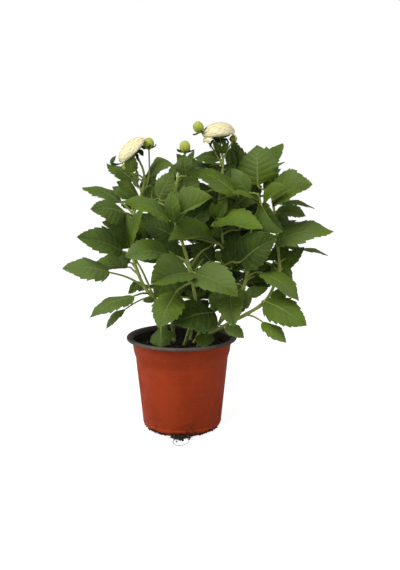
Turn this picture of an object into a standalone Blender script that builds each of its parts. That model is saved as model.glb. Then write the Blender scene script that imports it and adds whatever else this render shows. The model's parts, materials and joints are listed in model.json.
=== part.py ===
"""A potted dahlia: a thermoformed nursery pot, its soil, seven stems, their leaves, flowers and buds.

The origin is the centre of the pot's base on the surface that it stands on, with +Z up. Numbers in the
tables and constants are millimetres, and MM turns them into Blender's metres.
"""

import math
from dataclasses import dataclass

import bmesh
import bpy
from mathutils import Vector

MM = 0.001
GAP = 0.3  # air left between two pieces that touch

# Pot
RIM_RADIUS = 65.0
POT_HEIGHT = 110.0
LIP_DEPTH = 3.4
COLLAR_RADIUS = 58.7
STEP_HEIGHT = 84.0
BODY_TOP_RADIUS = 54.6
BODY_FOOT_RADIUS = 46.9
FOOT_RADIUS = 42.5
STEP_FLARE = 1.4  # how far the wall steps out above the step's height
CORNER_HEIGHT = 6.0
WALL = 1.2
POT_STEPS = 48
DRAIN_COUNT = 8
DRAIN_RADIUS = 4.0
DRAIN_HEIGHT = 2.5
DRAIN_REACH = 1.5  # from the foot's edge out to the middle of a drain hole
DRAIN_SLOPE = -0.75
DRAIN_CUT = 8.0

# Soil
SOIL_TOP = 98.0
SOIL_CROWN = 1.5
SOIL_STEPS = 32

# Plant
STEM_FOOT_RADIUS = 2.1
STEM_TOP_RADIUS = 1.2
BRANCH_RADIUS = 0.9
STEM_POINT_SPACING = 13.0
PETIOLE_HALF_WIDTH = 1.1
PETIOLE_THICKNESS = 2.0
BLADE_THICKNESS = 0.7
TIP_HALF_WIDTH = 0.6
PETIOLE_LIFT = 0.06
BLADE_ROWS = 6
BLADE_COLUMNS = 4
OUTLINE_RISE = 0.68
OUTLINE_FALL = 0.92
CAMBER = 0.22

# Flowers and buds
FLOWER_PETALS = 10
PETAL_NOTCH = 0.10
CALYX_HEIGHT = 6.0
CALYX_TOP_RADIUS = 7.5
CALYX_FOOT_RADIUS = 2.6
BUD_TAPER = 0.07  # how much slimmer a bud is at its tip

# Root
ROOT_RADIUS = 0.6

POT_CLAY = (0.26, 0.05, 0.02)
SOIL_BROWN = (0.02, 0.014, 0.009)
STEM_GREEN = (0.24, 0.30, 0.12)
LEAF_GREEN = (0.10, 0.17, 0.04)
PETAL_CREAM = (0.70, 0.62, 0.33)
CALYX_GREEN = (0.12, 0.18, 0.04)
BUD_GREEN = (0.38, 0.42, 0.10)
ROOT_TAN = (0.30, 0.26, 0.18)


@dataclass(frozen=True)
class Stem:
    """A stem's route from its foot in the soil to its top, and the side branches that it bears."""

    route: tuple
    branches: tuple = ()


@dataclass(frozen=True)
class Leaf:
    """A leaf by the height where it leaves its stem, the ends of its blade and the way its top faces.

    Its fold is how many degrees each half stands above flat, or hangs below it.
    """

    height: float
    base: tuple
    tip: tuple
    width: float
    faces: tuple
    fold: float
    arch: float = 0.09


STEMS = {
    "left": Stem(
        route=((-14, -4, 86), (-17, -7, 111), (-22, -10, 133), (-31, -12, 155), (-42, -10, 168),
               (-50, -6, 184), (-56, -2, 203), (-59, 2, 223), (-56, 6, 251), (-47, 8, 274),
               (-43, 6, 290), (-44, 4, 304), (-51, 1, 320)),
        branches=(((-47, 8, 274), (-40, 8, 286), (-37, 7, 302), (-37, 6, 327)),
                  ((-43, 6, 290), (-52, 2, 295), (-62, -2, 304))),
    ),
    "centre": Stem(
        route=((-2, -8, 86), (6, -12, 109), (12, -18, 132), (16, -24, 155), (14, -28, 172),
               (11, -30, 188), (7, -30, 205), (1, -28, 225), (-5, -26, 243), (-7, -22, 264),
               (-5, -16, 287), (0, -12, 306), (5, -10, 322)),
    ),
    "flower": Stem(
        route=((6, 2, 86), (18, 4, 106), (29, 6, 127), (41, 12, 157), (50, 16, 187), (50, 18, 210),
               (47, 18, 229), (44, 16, 247), (44, 14, 269), (47, 12, 294), (48, 10, 314),
               (46, 10, 326), (44, 10, 337)),
        branches=(((48, 11, 307), (41, 12, 320), (33, 9, 332), (23, 6, 346)),
                  ((48, 10, 315), (53, 12, 326), (59, 13, 335))),
    ),
    "right": Stem(
        route=((14, 4, 86), (32, 2, 110), (52, 0, 133), (66, 0, 151), (73, 0, 168), (78, 0, 191),
               (79, -2, 214), (81, -4, 238), (88, -6, 258), (90, -8, 268), (87, -10, 277)),
    ),
    "low_right": Stem(
        route=((12, -10, 86), (26, -16, 109), (50, -25, 127), (73, -36, 142), (93, -38, 156),
               (105, -26, 172), (113, -10, 191), (112, 4, 217), (110, 12, 245), (107, 18, 268),
               (104, 17, 289), (100, 14, 306)),
    ),
    "back_left": Stem(
        route=((-8, 10, 86), (-14, 24, 130), (-26, 36, 175), (-38, 46, 220), (-42, 54, 262),
               (-40, 58, 294)),
    ),
    "back_right": Stem(
        route=((8, 12, 86), (14, 28, 130), (28, 42, 175), (40, 54, 220), (48, 62, 262), (50, 66, 298)),
    ),
}

LEAVES = {
    "left": (
        Leaf(170, (-81, -22, 188), (-130, -46, 196), 39, (0.38, -0.52, 0.77), -11),
        Leaf(182, (-63, 2, 191), (-119, 14, 182), 30, (-0.23, -0.43, 0.88), 19),
        Leaf(203, (-68, -8, 211), (-116, -30, 229), 38, (0.51, -0.66, 0.56), 17),
        Leaf(252, (-71, 10, 266), (-118, 26, 283), 40, (0.25, -0.25, 0.94), -6),
        Leaf(249, (-64, -8, 255), (-99, -34, 261), 39, (0.53, -0.56, 0.64), -13),
        Leaf(278, (-57, 28, 290), (-91, 44, 311), 31, (0.28, -0.49, 0.83), -13),
        Leaf(162, (-54, -30, 162), (-99, -60, 144), 37, (-0.16, -0.32, 0.93), -7),
        Leaf(133, (-23, -27, 126), (-21, -50, 108), 32, (-0.24, -0.61, 0.76), -25),
        Leaf(282, (-38, 14, 296), (-2, 30, 301), 34, (-0.07, -0.13, 0.99), 0, arch=0.38),
    ),
    "centre": (
        Leaf(243, (-12, -32, 249), (-63, -60, 269), 41, (0.51, -0.37, 0.78), 3),
        Leaf(245, (-4, -34, 247), (35, -58, 274), 41, (-0.68, -0.49, 0.55), 35),
        Leaf(190, (16, -42, 190), (62, -82, 171), 40, (-0.26, -0.63, 0.73), 22),
        Leaf(192, (9, -46, 191), (-31, -74, 183), 45, (0.25, -0.58, 0.78), 32),
        Leaf(178, (-5, -46, 169), (-23, -76, 135), 39, (-0.11, -0.72, 0.69), -5),
        Leaf(201, (-15, -24, 209), (-62, -42, 208), 39, (0.2, -0.58, 0.79), 11, arch=0.14),
        Leaf(264, (-24, -22, 271), (-9, -27, 301), 25, (-0.36, -0.93, 0.02), -11),
        Leaf(135, (28, -32, 119), (25, -50, 107), 24, (-0.0, -0.55, 0.84), 0),
    ),
    "flower": (
        Leaf(247, (37, -10, 240), (91, -40, 238), 39, (-0.21, -0.43, 0.88), 24),
        Leaf(210, (37, -18, 222), (-13, -52, 226), 45, (0.33, -0.4, 0.85), 35),
        Leaf(191, (67, -22, 200), (105, -52, 232), 44, (-0.65, -0.75, 0.07), 10),
        Leaf(147, (38, -34, 145), (-7, -60, 137), 51, (0.23, -0.61, 0.75), -4),
        Leaf(269, (65, -8, 274), (10, -4, 304), 43, (0.38, -0.53, 0.76), -2),
        Leaf(116, (50, -50, 131), (69, -70, 123), 18, (-0.18, -0.5, 0.85), 6),
    ),
    "right": (
        Leaf(262, (92, -14, 263), (113, -44, 236), 33, (-0.8, -0.59, 0.01), 27),
        Leaf(179, (90, -40, 190), (127, -72, 164), 37, (0.24, -0.43, 0.87), 3),
        Leaf(154, (56, -40, 163), (58, -78, 137), 31, (-0.25, -0.55, 0.8), 23),
    ),
    "low_right": (
        Leaf(272, (89, 8, 285), (87, 14, 332), 54, (-0.14, -0.98, 0.12), -25),
        Leaf(292, (106, 46, 304), (123, 62, 336), 24, (-0.49, -0.66, 0.57), 15),
        Leaf(266, (106, 2, 269), (147, -20, 287), 55, (-0.57, -0.52, 0.64), 20),
        Leaf(217, (109, -4, 222), (172, -22, 235), 55, (-0.3, -0.42, 0.86), 3),
        Leaf(152, (93, -50, 160), (134, -86, 140), 38, (-0.24, -0.67, 0.7), -10),
        Leaf(142, (90, -56, 138), (114, -76, 119), 24, (0.23, -0.5, 0.83), -13),
    ),
    "back_left": (
        Leaf(150, (-36, 52, 158), (-58, 98, 146), 42, (-0.1, 0.4, 0.9), 12),
        Leaf(198, (-30, 68, 206), (-20, 124, 200), 44, (0.0, 0.3, 0.9), 12),
        Leaf(200, (-56, 42, 209), (-110, 46, 218), 42, (-0.1, -0.1, 1.0), 12),
        Leaf(256, (-50, 76, 264), (-72, 124, 264), 40, (-0.1, 0.3, 0.9), 12),
        Leaf(116, (-6, 40, 130), (-10, 92, 124), 38, (0.0, 0.3, 0.9), 12),
    ),
    "back_right": (
        Leaf(152, (40, 56, 158), (80, 96, 144), 42, (0.1, 0.4, 0.9), 12),
        Leaf(200, (30, 78, 208), (26, 134, 200), 44, (0.0, 0.3, 0.9), 12),
        Leaf(198, (58, 58, 206), (114, 70, 210), 42, (0.1, -0.1, 1.0), 12),
        Leaf(258, (60, 82, 266), (94, 126, 264), 40, (0.1, 0.3, 0.9), 12),
    ),
}

# Each flower: the back of its calyx, where its stalk ends, the way it faces, and its radius and depth.
FLOWERS = {
    "left_flower": ((-51, 1, 320), (-0.66, -0.25, 0.7), 19.0, 10.5),
    "top_flower": ((44, 10, 337), (-0.12, -0.1, 0.98), 18.4, 13.0),
}

# Each bud: its foot, where its stalk ends, the way it points, its radius and its length.
BUDS = {
    "top_bud": ((23, 6, 346), (-0.5, -0.3, 0.81), 5.5, 13.0),
    "top_side_bud": ((59, 13, 335), (0.3, 0.1, 0.95), 3.9, 8.0),
    "centre_bud": ((5, -10, 322), (-0.05, 0.0, 1.0), 5.6, 13.5),
    "left_bud": ((-37, 6, 327), (-0.05, 0.0, 1.0), 5.9, 12.6),
    "left_side_bud": ((-62, -2, 304), (-0.5, -0.3, 0.8), 3.1, 6.4),
}

ROOT_ROUTE = (
    (-1, -42.5, 3.6), (-3.5, -46.5, 2.2), (-6, -51, 1.0), (-9, -60, 0.8), (-5, -69, 0.8),
    (4, -68, 0.8), (9, -58, 0.8), (7, -50, 1.0),
)


def clear_scene():
    for obj in list(bpy.data.objects):
        bpy.data.objects.remove(obj, do_unlink=True)


def new_collection(name):
    collection = bpy.data.collections.new(name)
    bpy.context.scene.collection.children.link(collection)
    return collection


def new_material(name, colour, roughness):
    material = bpy.data.materials.new(name)
    material.use_nodes = True
    shader = material.node_tree.nodes["Principled BSDF"]
    shader.inputs["Base Color"].default_value = (*colour, 1.0)
    shader.inputs["Roughness"].default_value = roughness
    shader.inputs["Metallic"].default_value = 0.0
    return material


def add_object(name, data, collection, material=None):
    obj = bpy.data.objects.new(name, data)
    collection.objects.link(obj)
    if material:
        data.materials.append(material)
    return obj


def hide_helper(obj):
    """Keep a cutter or guide out of the model."""
    obj.hide_render = True
    obj.display_type = "WIRE"


def metres(point):
    return Vector(point) * MM


def spline_point(points, u):
    """The Catmull-Rom curve through the points, at u counted in points from the first."""
    index = min(int(u), len(points) - 2)
    t = u - index
    near, far = points[index], points[index + 1]
    before = points[index - 1] if index else near * 2 - far
    after = points[index + 2] if index + 2 < len(points) else far * 2 - near
    return 0.5 * (
        2 * near
        + (far - before) * t
        + (2 * before - 5 * near + 4 * far - after) * t ** 2
        + (3 * near - before - 3 * far + after) * t ** 3
    )


def smooth_route(route, spacing):
    """Points about that far apart (mm) along the smooth curve through a route."""
    points = [Vector(point) for point in route]
    smooth = [points[0]]
    for index in range(len(points) - 1):
        pieces = max(1, round((points[index + 1] - points[index]).length / spacing))
        smooth += [spline_point(points, index + piece / pieces) for piece in range(1, pieces + 1)]
    return smooth


def shortened(points, amount):
    """The points with that much (mm) taken off the far end."""
    last = points[-1] - points[-2]
    return points[:-1] + [points[-1] - last.normalized() * amount]


def add_tube(name, points, radii, collection, material=None, resolution=2):
    """A round tube through points (mm) as a curve object, with a radius at each point."""
    curve = bpy.data.curves.new(name, "CURVE")
    curve.dimensions = "3D"
    curve.bevel_depth = MM
    curve.bevel_resolution = resolution
    curve.use_fill_caps = True
    spline = curve.splines.new("POLY")
    spline.points.add(len(points) - 1)
    for spot, point, radius in zip(spline.points, points, radii):
        spot.co = (*metres(point), 1.0)
        spot.radius = radius
    return add_object(name, curve, collection, material)


def made_mesh(curve_object, collection):
    """Replace a curve object by a mesh one, with the curve's caps welded to its sides."""
    graph = bpy.context.evaluated_depsgraph_get()
    mesh = bpy.data.meshes.new_from_object(curve_object.evaluated_get(graph))
    name = curve_object.name
    place = curve_object.matrix_world.copy()
    bpy.data.objects.remove(curve_object, do_unlink=True)
    bm = bmesh.new()
    bm.from_mesh(mesh)
    bmesh.ops.remove_doubles(bm, verts=bm.verts, dist=0.01 * MM)
    bm.to_mesh(mesh)
    bm.free()
    mesh.shade_smooth()
    obj = add_object(name, mesh, collection)
    obj.matrix_world = place
    return obj


def add_boolean(obj, helper, operation):
    modifier = obj.modifiers.new(helper.name, "BOOLEAN")
    modifier.operation = operation
    modifier.object = helper
    hide_helper(helper)


def add_turned(name, profile, steps, collection, material):
    """A turned solid from a profile of (radius, height) in mm that runs down its outer side."""
    mesh = bpy.data.meshes.new(name)
    points = [metres((radius, 0.0, height)) for radius, height in profile]
    mesh.from_pydata(points, [(i, i + 1) for i in range(len(points) - 1)], [])
    obj = add_object(name, mesh, collection, material)
    screw = obj.modifiers.new("turn", "SCREW")
    screw.axis = "Z"
    screw.steps = steps
    screw.render_steps = steps
    screw.use_merge_vertices = True
    screw.merge_threshold = 0.0001
    screw.use_smooth_shade = True
    return obj


def pot_outside():
    """The pot's outer side from the rim down, as (radius, height)."""
    return [
        (RIM_RADIUS, POT_HEIGHT),
        (RIM_RADIUS + 0.3, POT_HEIGHT - LIP_DEPTH / 2),
        (RIM_RADIUS - 0.2, POT_HEIGHT - LIP_DEPTH),
        (COLLAR_RADIUS + 0.8, POT_HEIGHT - LIP_DEPTH - 0.6),
        (COLLAR_RADIUS, POT_HEIGHT - LIP_DEPTH - 2.0),
        (BODY_TOP_RADIUS + STEP_FLARE, STEP_HEIGHT + 2.5),
        (BODY_TOP_RADIUS, STEP_HEIGHT - 1.0),
        (BODY_FOOT_RADIUS, CORNER_HEIGHT),
        (BODY_FOOT_RADIUS - 1.5, CORNER_HEIGHT / 2),
        (FOOT_RADIUS, 0.0),
        (0.0, 0.0),
    ]


def pot_inside():
    """The pot's inner side from the floor's centre up to the rim, as (radius, height)."""
    return [
        (0.0, WALL),
        (FOOT_RADIUS - 1.0, WALL),
        (BODY_FOOT_RADIUS - WALL - 1.6, 4.6),
        (BODY_FOOT_RADIUS - WALL, CORNER_HEIGHT + 1.0),
        (BODY_TOP_RADIUS - WALL, STEP_HEIGHT - 0.6),
        (BODY_TOP_RADIUS + STEP_FLARE - WALL, STEP_HEIGHT + 3.0),
        (COLLAR_RADIUS - WALL, POT_HEIGHT - 3.0),
        (COLLAR_RADIUS + 0.6, POT_HEIGHT - 1.2),
        (RIM_RADIUS - 1.0, POT_HEIGHT),
    ]


def soil_profile():
    """The soil's outer side from the middle of its top down to the middle of its foot."""
    wall_gap = WALL + GAP
    slope = (COLLAR_RADIUS - BODY_TOP_RADIUS) / (POT_HEIGHT - STEP_HEIGHT)
    edge = BODY_TOP_RADIUS + slope * (SOIL_TOP - STEP_HEIGHT) - wall_gap - 0.4
    return [
        (0.0, SOIL_TOP + SOIL_CROWN),
        (0.6 * edge, SOIL_TOP + 0.6 * SOIL_CROWN),
        (edge, SOIL_TOP),
        (BODY_TOP_RADIUS - wall_gap - 0.2, STEP_HEIGHT - 2.0),
        (BODY_FOOT_RADIUS - wall_gap - 0.2, CORNER_HEIGHT + 1.0),
        (BODY_FOOT_RADIUS - wall_gap - 2.4, 4.6),
        (FOOT_RADIUS - 2.2, WALL + GAP),
        (0.0, WALL + GAP),
    ]


def build_pot(parts, cutters, material):
    """The pot with its ring of drain holes."""
    pot = add_turned("pot", pot_inside() + pot_outside(), POT_STEPS, parts, material)
    for index in range(DRAIN_COUNT):
        turn = 2 * math.pi * (index + 1) / DRAIN_COUNT - math.pi / 2
        outward = Vector((math.cos(turn), math.sin(turn), DRAIN_SLOPE))
        mesh = bpy.data.meshes.new(f"drain_hole_{index + 1}")
        bm = bmesh.new()
        bmesh.ops.create_cone(
            bm, cap_ends=True, segments=12, radius1=DRAIN_RADIUS * MM, radius2=DRAIN_RADIUS * MM,
            depth=DRAIN_CUT * MM,
        )
        bm.to_mesh(mesh)
        bm.free()
        cutter = add_object(mesh.name, mesh, cutters)
        reach = FOOT_RADIUS + DRAIN_REACH
        cutter.location = metres((reach * math.cos(turn), reach * math.sin(turn), DRAIN_HEIGHT))
        cutter.rotation_mode = "QUATERNION"
        cutter.rotation_quaternion = outward.to_track_quat("Z", "Y")
        add_boolean(pot, cutter, "DIFFERENCE")
    return pot


def stem_points(stem):
    """The stem's middle line as it is built, from the root ball up."""
    return smooth_route(stem.route, STEM_POINT_SPACING)


def stem_radius(points, index):
    """A stem's radius at one of its points: it thins towards the top."""
    share = index / (len(points) - 1)
    return STEM_FOOT_RADIUS + (STEM_TOP_RADIUS - STEM_FOOT_RADIUS) * share


def build_soil(parts, cutters, material):
    """The root ball, with a socket for the foot of every stem."""
    soil = add_turned("soil", soil_profile(), SOIL_STEPS, parts, material)
    for name, stem in STEMS.items():
        points = stem_points(stem)
        foot, above = points[0], points[1]
        rise = (above - foot).normalized()
        ends = [foot - rise * GAP, foot, above, points[2]]
        radii = [STEM_FOOT_RADIUS + GAP] * len(ends)
        tube = add_tube(f"{name}_socket", ends, radii, cutters)
        add_boolean(soil, made_mesh(tube, cutters), "DIFFERENCE")


def build_stem(name, stem, parts, guides, material):
    """A stem with the stalks that branch off it."""
    points = stem_points(stem)
    radii = [stem_radius(points, index) for index in range(len(points))]
    points = shortened(points, GAP)
    stalk = made_mesh(add_tube(f"{name}_stem", points, radii, parts), parts)
    stalk.data.materials.append(material)
    for number, branch in enumerate(stem.branches, start=1):
        route = shortened(smooth_route(branch, STEM_POINT_SPACING / 2), GAP)
        radii = [BRANCH_RADIUS] * len(route)
        tube = add_tube(f"{name}_branch_{number}", route, radii, guides)
        add_boolean(stalk, made_mesh(tube, guides), "UNION")


def outline(share):
    """A leaf's half width at a share of its blade's length, 1 at its widest."""
    widest = OUTLINE_RISE / (OUTLINE_RISE + OUTLINE_FALL)
    rise = (share / widest) ** OUTLINE_RISE
    fall = ((1.0 - share) / (1.0 - widest)) ** OUTLINE_FALL
    return rise * fall


def joint_on(points, height):
    """The point on a stem's middle line at a height, the way the stem runs there and its radius."""
    for index in range(len(points) - 1):
        low, high = points[index], points[index + 1]
        if high.z >= height:
            share = (height - low.z) / (high.z - low.z)
            return low.lerp(high, share), (high - low).normalized(), stem_radius(points, index)
    raise ValueError(f"no stem at height {height}")


def petiole_start(leaf, points):
    """Where the petiole's end stands just clear of the stem's skin."""
    joint, along, radius = joint_on(points, leaf.height)
    towards = (Vector(leaf.base) - joint).normalized()
    lean = abs(towards.dot(along))
    square = max(0.35, math.sqrt(1.0 - lean ** 2))
    clear = radius + GAP + PETIOLE_HALF_WIDTH * lean + 0.3
    return joint + towards * (clear / square)


def leaf_rows(leaf, points):
    """The leaf's middle line: (point, half width, thickness share) from the petiole's end to the tip."""
    base, tip = Vector(leaf.base), Vector(leaf.tip)
    length = (tip - base).length
    start = petiole_start(leaf, points)
    along, upper = leaf_frame(leaf)
    crown = base.lerp(tip, 0.5) + upper * leaf.arch * length
    lift = start.lerp(base, 0.5) + Vector((0, 0, PETIOLE_LIFT)) * (base - start).length
    line = [start, lift, base, crown, tip]
    stages = [0.0, 1.0] + [2.0 + 2.0 * row / BLADE_ROWS for row in range(BLADE_ROWS + 1)]
    thin = BLADE_THICKNESS / PETIOLE_THICKNESS
    rows = []
    for stage in stages:
        share = max(0.0, stage / 2 - 1.0)
        half = PETIOLE_HALF_WIDTH
        if stage > 2.0:
            half = max(TIP_HALF_WIDTH, leaf.width / 2 * outline(share))
        rows.append((spline_point(line, stage), half, 1.0 if stage <= 2.0 else thin))
    return rows


def leaf_frame(leaf):
    """The blade's own axes: along it, and out of its upper side."""
    along = (Vector(leaf.tip) - Vector(leaf.base)).normalized()
    faces = Vector(leaf.faces)
    return along, (faces - along * faces.dot(along)).normalized()


def build_leaf(name, leaf, points, parts, material):
    """One leaf: a grid bent into petiole and blade, then thickened."""
    rows = leaf_rows(leaf, points)
    _, upper = leaf_frame(leaf)
    mesh = bpy.data.meshes.new(name)
    bm = bmesh.new()
    bmesh.ops.create_grid(bm, x_segments=len(rows) - 1, y_segments=BLADE_COLUMNS, size=1.0)
    tilt = math.tan(math.radians(leaf.fold))
    weights = {}
    for vert in bm.verts:
        row = round((vert.co.x + 1) / 2 * (len(rows) - 1))
        across = vert.co.y
        centre, half, thickness = rows[row]
        before = rows[max(row - 1, 0)][0]
        after = rows[min(row + 1, len(rows) - 1)][0]
        side = upper.cross(after - before).normalized()
        normal = (after - before).cross(side).normalized()
        blade = thickness < 1.0
        rise = half * (tilt * abs(across) + CAMBER * (abs(across) - across ** 2)) if blade else 0.0
        vert.co = metres(centre + side * half * across + normal * rise)
        weights[vert.index] = thickness
    bm.to_mesh(mesh)
    bm.free()
    leaf_object = add_object(name, mesh, parts, material)
    group = leaf_object.vertex_groups.new(name="thickness")
    for index, weight in weights.items():
        group.add([index], weight, "REPLACE")
    mesh.shade_smooth()
    solidify = leaf_object.modifiers.new("thickness", "SOLIDIFY")
    solidify.thickness = PETIOLE_THICKNESS * MM
    solidify.offset = 0.0
    solidify.vertex_group = group.name
    return leaf_object


def add_round(name, middle, facing, collection, material, segments, rings, shape):
    """A ball reshaped by shape(unit point) -> point in mm, then turned to face a way and placed."""
    mesh = bpy.data.meshes.new(name)
    bm = bmesh.new()
    bmesh.ops.create_uvsphere(bm, u_segments=segments, v_segments=rings, radius=1.0)
    for vert in bm.verts:
        vert.co = metres(shape(vert.co))
    bm.to_mesh(mesh)
    bm.free()
    mesh.shade_smooth()
    obj = add_object(name, mesh, collection, material)
    obj.location = metres(middle)
    obj.rotation_mode = "QUATERNION"
    obj.rotation_quaternion = Vector(facing).to_track_quat("Z", "Y")
    return obj


def build_flower(name, place, parts, petal_material, calyx_material):
    """A flower's head as one scalloped dome, over the green cup that holds it."""
    foot, facing, radius, depth = place
    foot, axis = Vector(foot), Vector(facing).normalized()

    def petals(spot):
        turn = math.atan2(spot.y, spot.x)
        scallop = 1.0 - PETAL_NOTCH * (0.5 - 0.5 * math.cos(FLOWER_PETALS * turn))
        reach = radius * scallop
        return Vector((spot.x * reach, spot.y * reach, spot.z * depth / 2))

    middle = foot + axis * (CALYX_HEIGHT + 2 * GAP + depth / 2)
    add_round(name, middle, axis, parts, petal_material, 2 * FLOWER_PETALS, 8, petals)
    mesh = bpy.data.meshes.new(f"{name}_calyx")
    bm = bmesh.new()
    bmesh.ops.create_cone(
        bm, cap_ends=True, segments=12, radius1=CALYX_FOOT_RADIUS * MM,
        radius2=CALYX_TOP_RADIUS * MM, depth=CALYX_HEIGHT * MM,
    )
    bm.to_mesh(mesh)
    bm.free()
    calyx = add_object(mesh.name, mesh, parts, calyx_material)
    calyx.location = metres(foot + axis * (GAP + CALYX_HEIGHT / 2))
    calyx.rotation_mode = "QUATERNION"
    calyx.rotation_quaternion = axis.to_track_quat("Z", "Y")


def build_bud(name, place, parts, material):
    """A closed bud: an egg standing on its stalk."""
    foot, facing, radius, length = place
    axis = Vector(facing).normalized()

    def egg(spot):
        slim = 1.0 - BUD_TAPER * spot.z
        return Vector((spot.x * radius * slim, spot.y * radius * slim, spot.z * length / 2))

    middle = Vector(foot) + axis * (GAP + length / 2)
    add_round(name, middle, axis, parts, material, 12, 8, egg)


def build_root(parts, material):
    """The fine root that has grown out of the front drain hole, lying on the surface."""
    points = smooth_route(ROOT_ROUTE, 3.0)
    add_tube("drain_root", points, [ROOT_RADIUS] * len(points), parts, material)


def main():
    clear_scene()
    parts = new_collection("potted_dahlia")
    cutters = new_collection("cutters")
    guides = new_collection("guides")
    build_pot(parts, cutters, new_material("pot_plastic", POT_CLAY, 0.55))
    build_soil(parts, cutters, new_material("soil", SOIL_BROWN, 0.95))
    build_root(parts, new_material("root", ROOT_TAN, 0.8))
    stem_material = new_material("stem", STEM_GREEN, 0.5)
    leaf_material = new_material("leaf", LEAF_GREEN, 0.5)
    for name, stem in STEMS.items():
        build_stem(name, stem, parts, guides, stem_material)
        for number, leaf in enumerate(LEAVES[name], start=1):
            build_leaf(f"{name}_leaf_{number}", leaf, stem_points(stem), parts, leaf_material)
    petal_material = new_material("petal", PETAL_CREAM, 0.5)
    calyx_material = new_material("calyx", CALYX_GREEN, 0.5)
    for name, place in FLOWERS.items():
        build_flower(name, place, parts, petal_material, calyx_material)
    bud_material = new_material("bud", BUD_GREEN, 0.5)
    for name, place in BUDS.items():
        build_bud(name, place, parts, bud_material)


main()
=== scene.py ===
"""The looks of a potted dahlia: nursery pot, soil, roots, stems, leaves, flowers and buds.

Numbers in the tables and in the size fields are millimetres, and MM turns them into Blender's metres. The origin
is the centre of the pot's base, +Z is up, and the plant's best side faces -Y.
"""

import json
import logging
import math
import random
from dataclasses import dataclass
from enum import Enum

import bmesh
import bpy
import numpy as np
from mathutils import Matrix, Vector

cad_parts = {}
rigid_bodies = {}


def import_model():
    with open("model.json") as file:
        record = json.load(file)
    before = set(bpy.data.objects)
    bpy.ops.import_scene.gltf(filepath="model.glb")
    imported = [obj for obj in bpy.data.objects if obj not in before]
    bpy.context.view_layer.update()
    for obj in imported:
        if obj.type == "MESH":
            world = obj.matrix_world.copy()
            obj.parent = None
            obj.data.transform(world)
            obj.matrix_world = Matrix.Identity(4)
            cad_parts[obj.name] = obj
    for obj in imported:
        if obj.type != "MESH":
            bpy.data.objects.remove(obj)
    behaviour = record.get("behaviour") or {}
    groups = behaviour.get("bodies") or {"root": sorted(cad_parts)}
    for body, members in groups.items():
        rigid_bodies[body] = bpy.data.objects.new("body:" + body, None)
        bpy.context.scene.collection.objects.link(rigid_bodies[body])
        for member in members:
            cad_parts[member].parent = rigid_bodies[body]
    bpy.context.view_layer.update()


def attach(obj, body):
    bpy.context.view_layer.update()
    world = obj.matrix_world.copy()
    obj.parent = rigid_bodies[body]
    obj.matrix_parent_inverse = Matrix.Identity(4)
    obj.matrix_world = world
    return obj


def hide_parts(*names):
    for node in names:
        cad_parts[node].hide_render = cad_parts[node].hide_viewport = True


MM = 0.001
GOLDEN_TURN = math.pi * (3.0 - math.sqrt(5.0))
BODY = "root"
# What a point carries for its finish: its place among the side veins, across and along, and its tone.
VALUES = ("phase", "across", "along", "tone")
log = logging.getLogger("potted_dahlia")

Array = np.ndarray
Point = tuple[float, float, float]
Colour = tuple[float, float, float]
Profile = list[tuple[float, float]]
Object = bpy.types.Object
Material = bpy.types.Material
NodeTree = bpy.types.NodeTree
Socket = bpy.types.NodeSocket


class Slot(Enum):
    """The record's material slots."""

    POT = "pot_plastic"
    SOIL = "soil"
    ROOT = "root"
    STEM = "stem"
    LEAF = "leaf"
    PETAL = "petal"
    CALYX = "calyx"
    BUD = "bud"


class Tissue(Enum):
    """Which of a leaf's finishes a face takes."""

    UPPER = 0
    UNDER = 1
    STALK = 2


# ---- The plant's layout, as the CAD part has it ----


@dataclass(frozen=True)
class Stem:
    """A stem's route from its foot in the soil to its top, and the side branches that it bears."""

    route: tuple[Point, ...]
    branches: tuple[tuple[Point, ...], ...] = ()


@dataclass(frozen=True)
class Leaf:
    """A leaf by the height where it leaves its stem, the ends of its blade and the way its top faces.

    Its tone goes from -1, deep green, to 1, fresh green; it is mostly the leaf's own green, and a few leaves that lie
    in shade have a high tone that paints light on them. Its fold is how many degrees each half stands above flat, or
    hangs below it, and its arch is how far its middle stands above a straight blade, as a share of its length.
    """

    height: float
    base: Point
    tip: Point
    width: float
    faces: Point
    tone: float = 0.0
    fold: float = 0.0
    arch: float = 0.09


@dataclass(frozen=True)
class Head:
    """A flower head or a bud by the end of its stalk, the way it points, its radius and its length."""

    foot: Point
    facing: Point
    radius: float
    length: float


def as_leaves(table: dict[str, tuple[tuple, ...]]) -> dict[str, tuple[Leaf, ...]]:
    """Each stem's leaves from rows that hold a leaf's fields in order."""
    return {stem: tuple(Leaf(*row) for row in rows) for stem, rows in table.items()}


# Where the camera stands, at the height of the upper leaves.
EYE: Point = (21.5, -789.0, 295.0)

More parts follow.
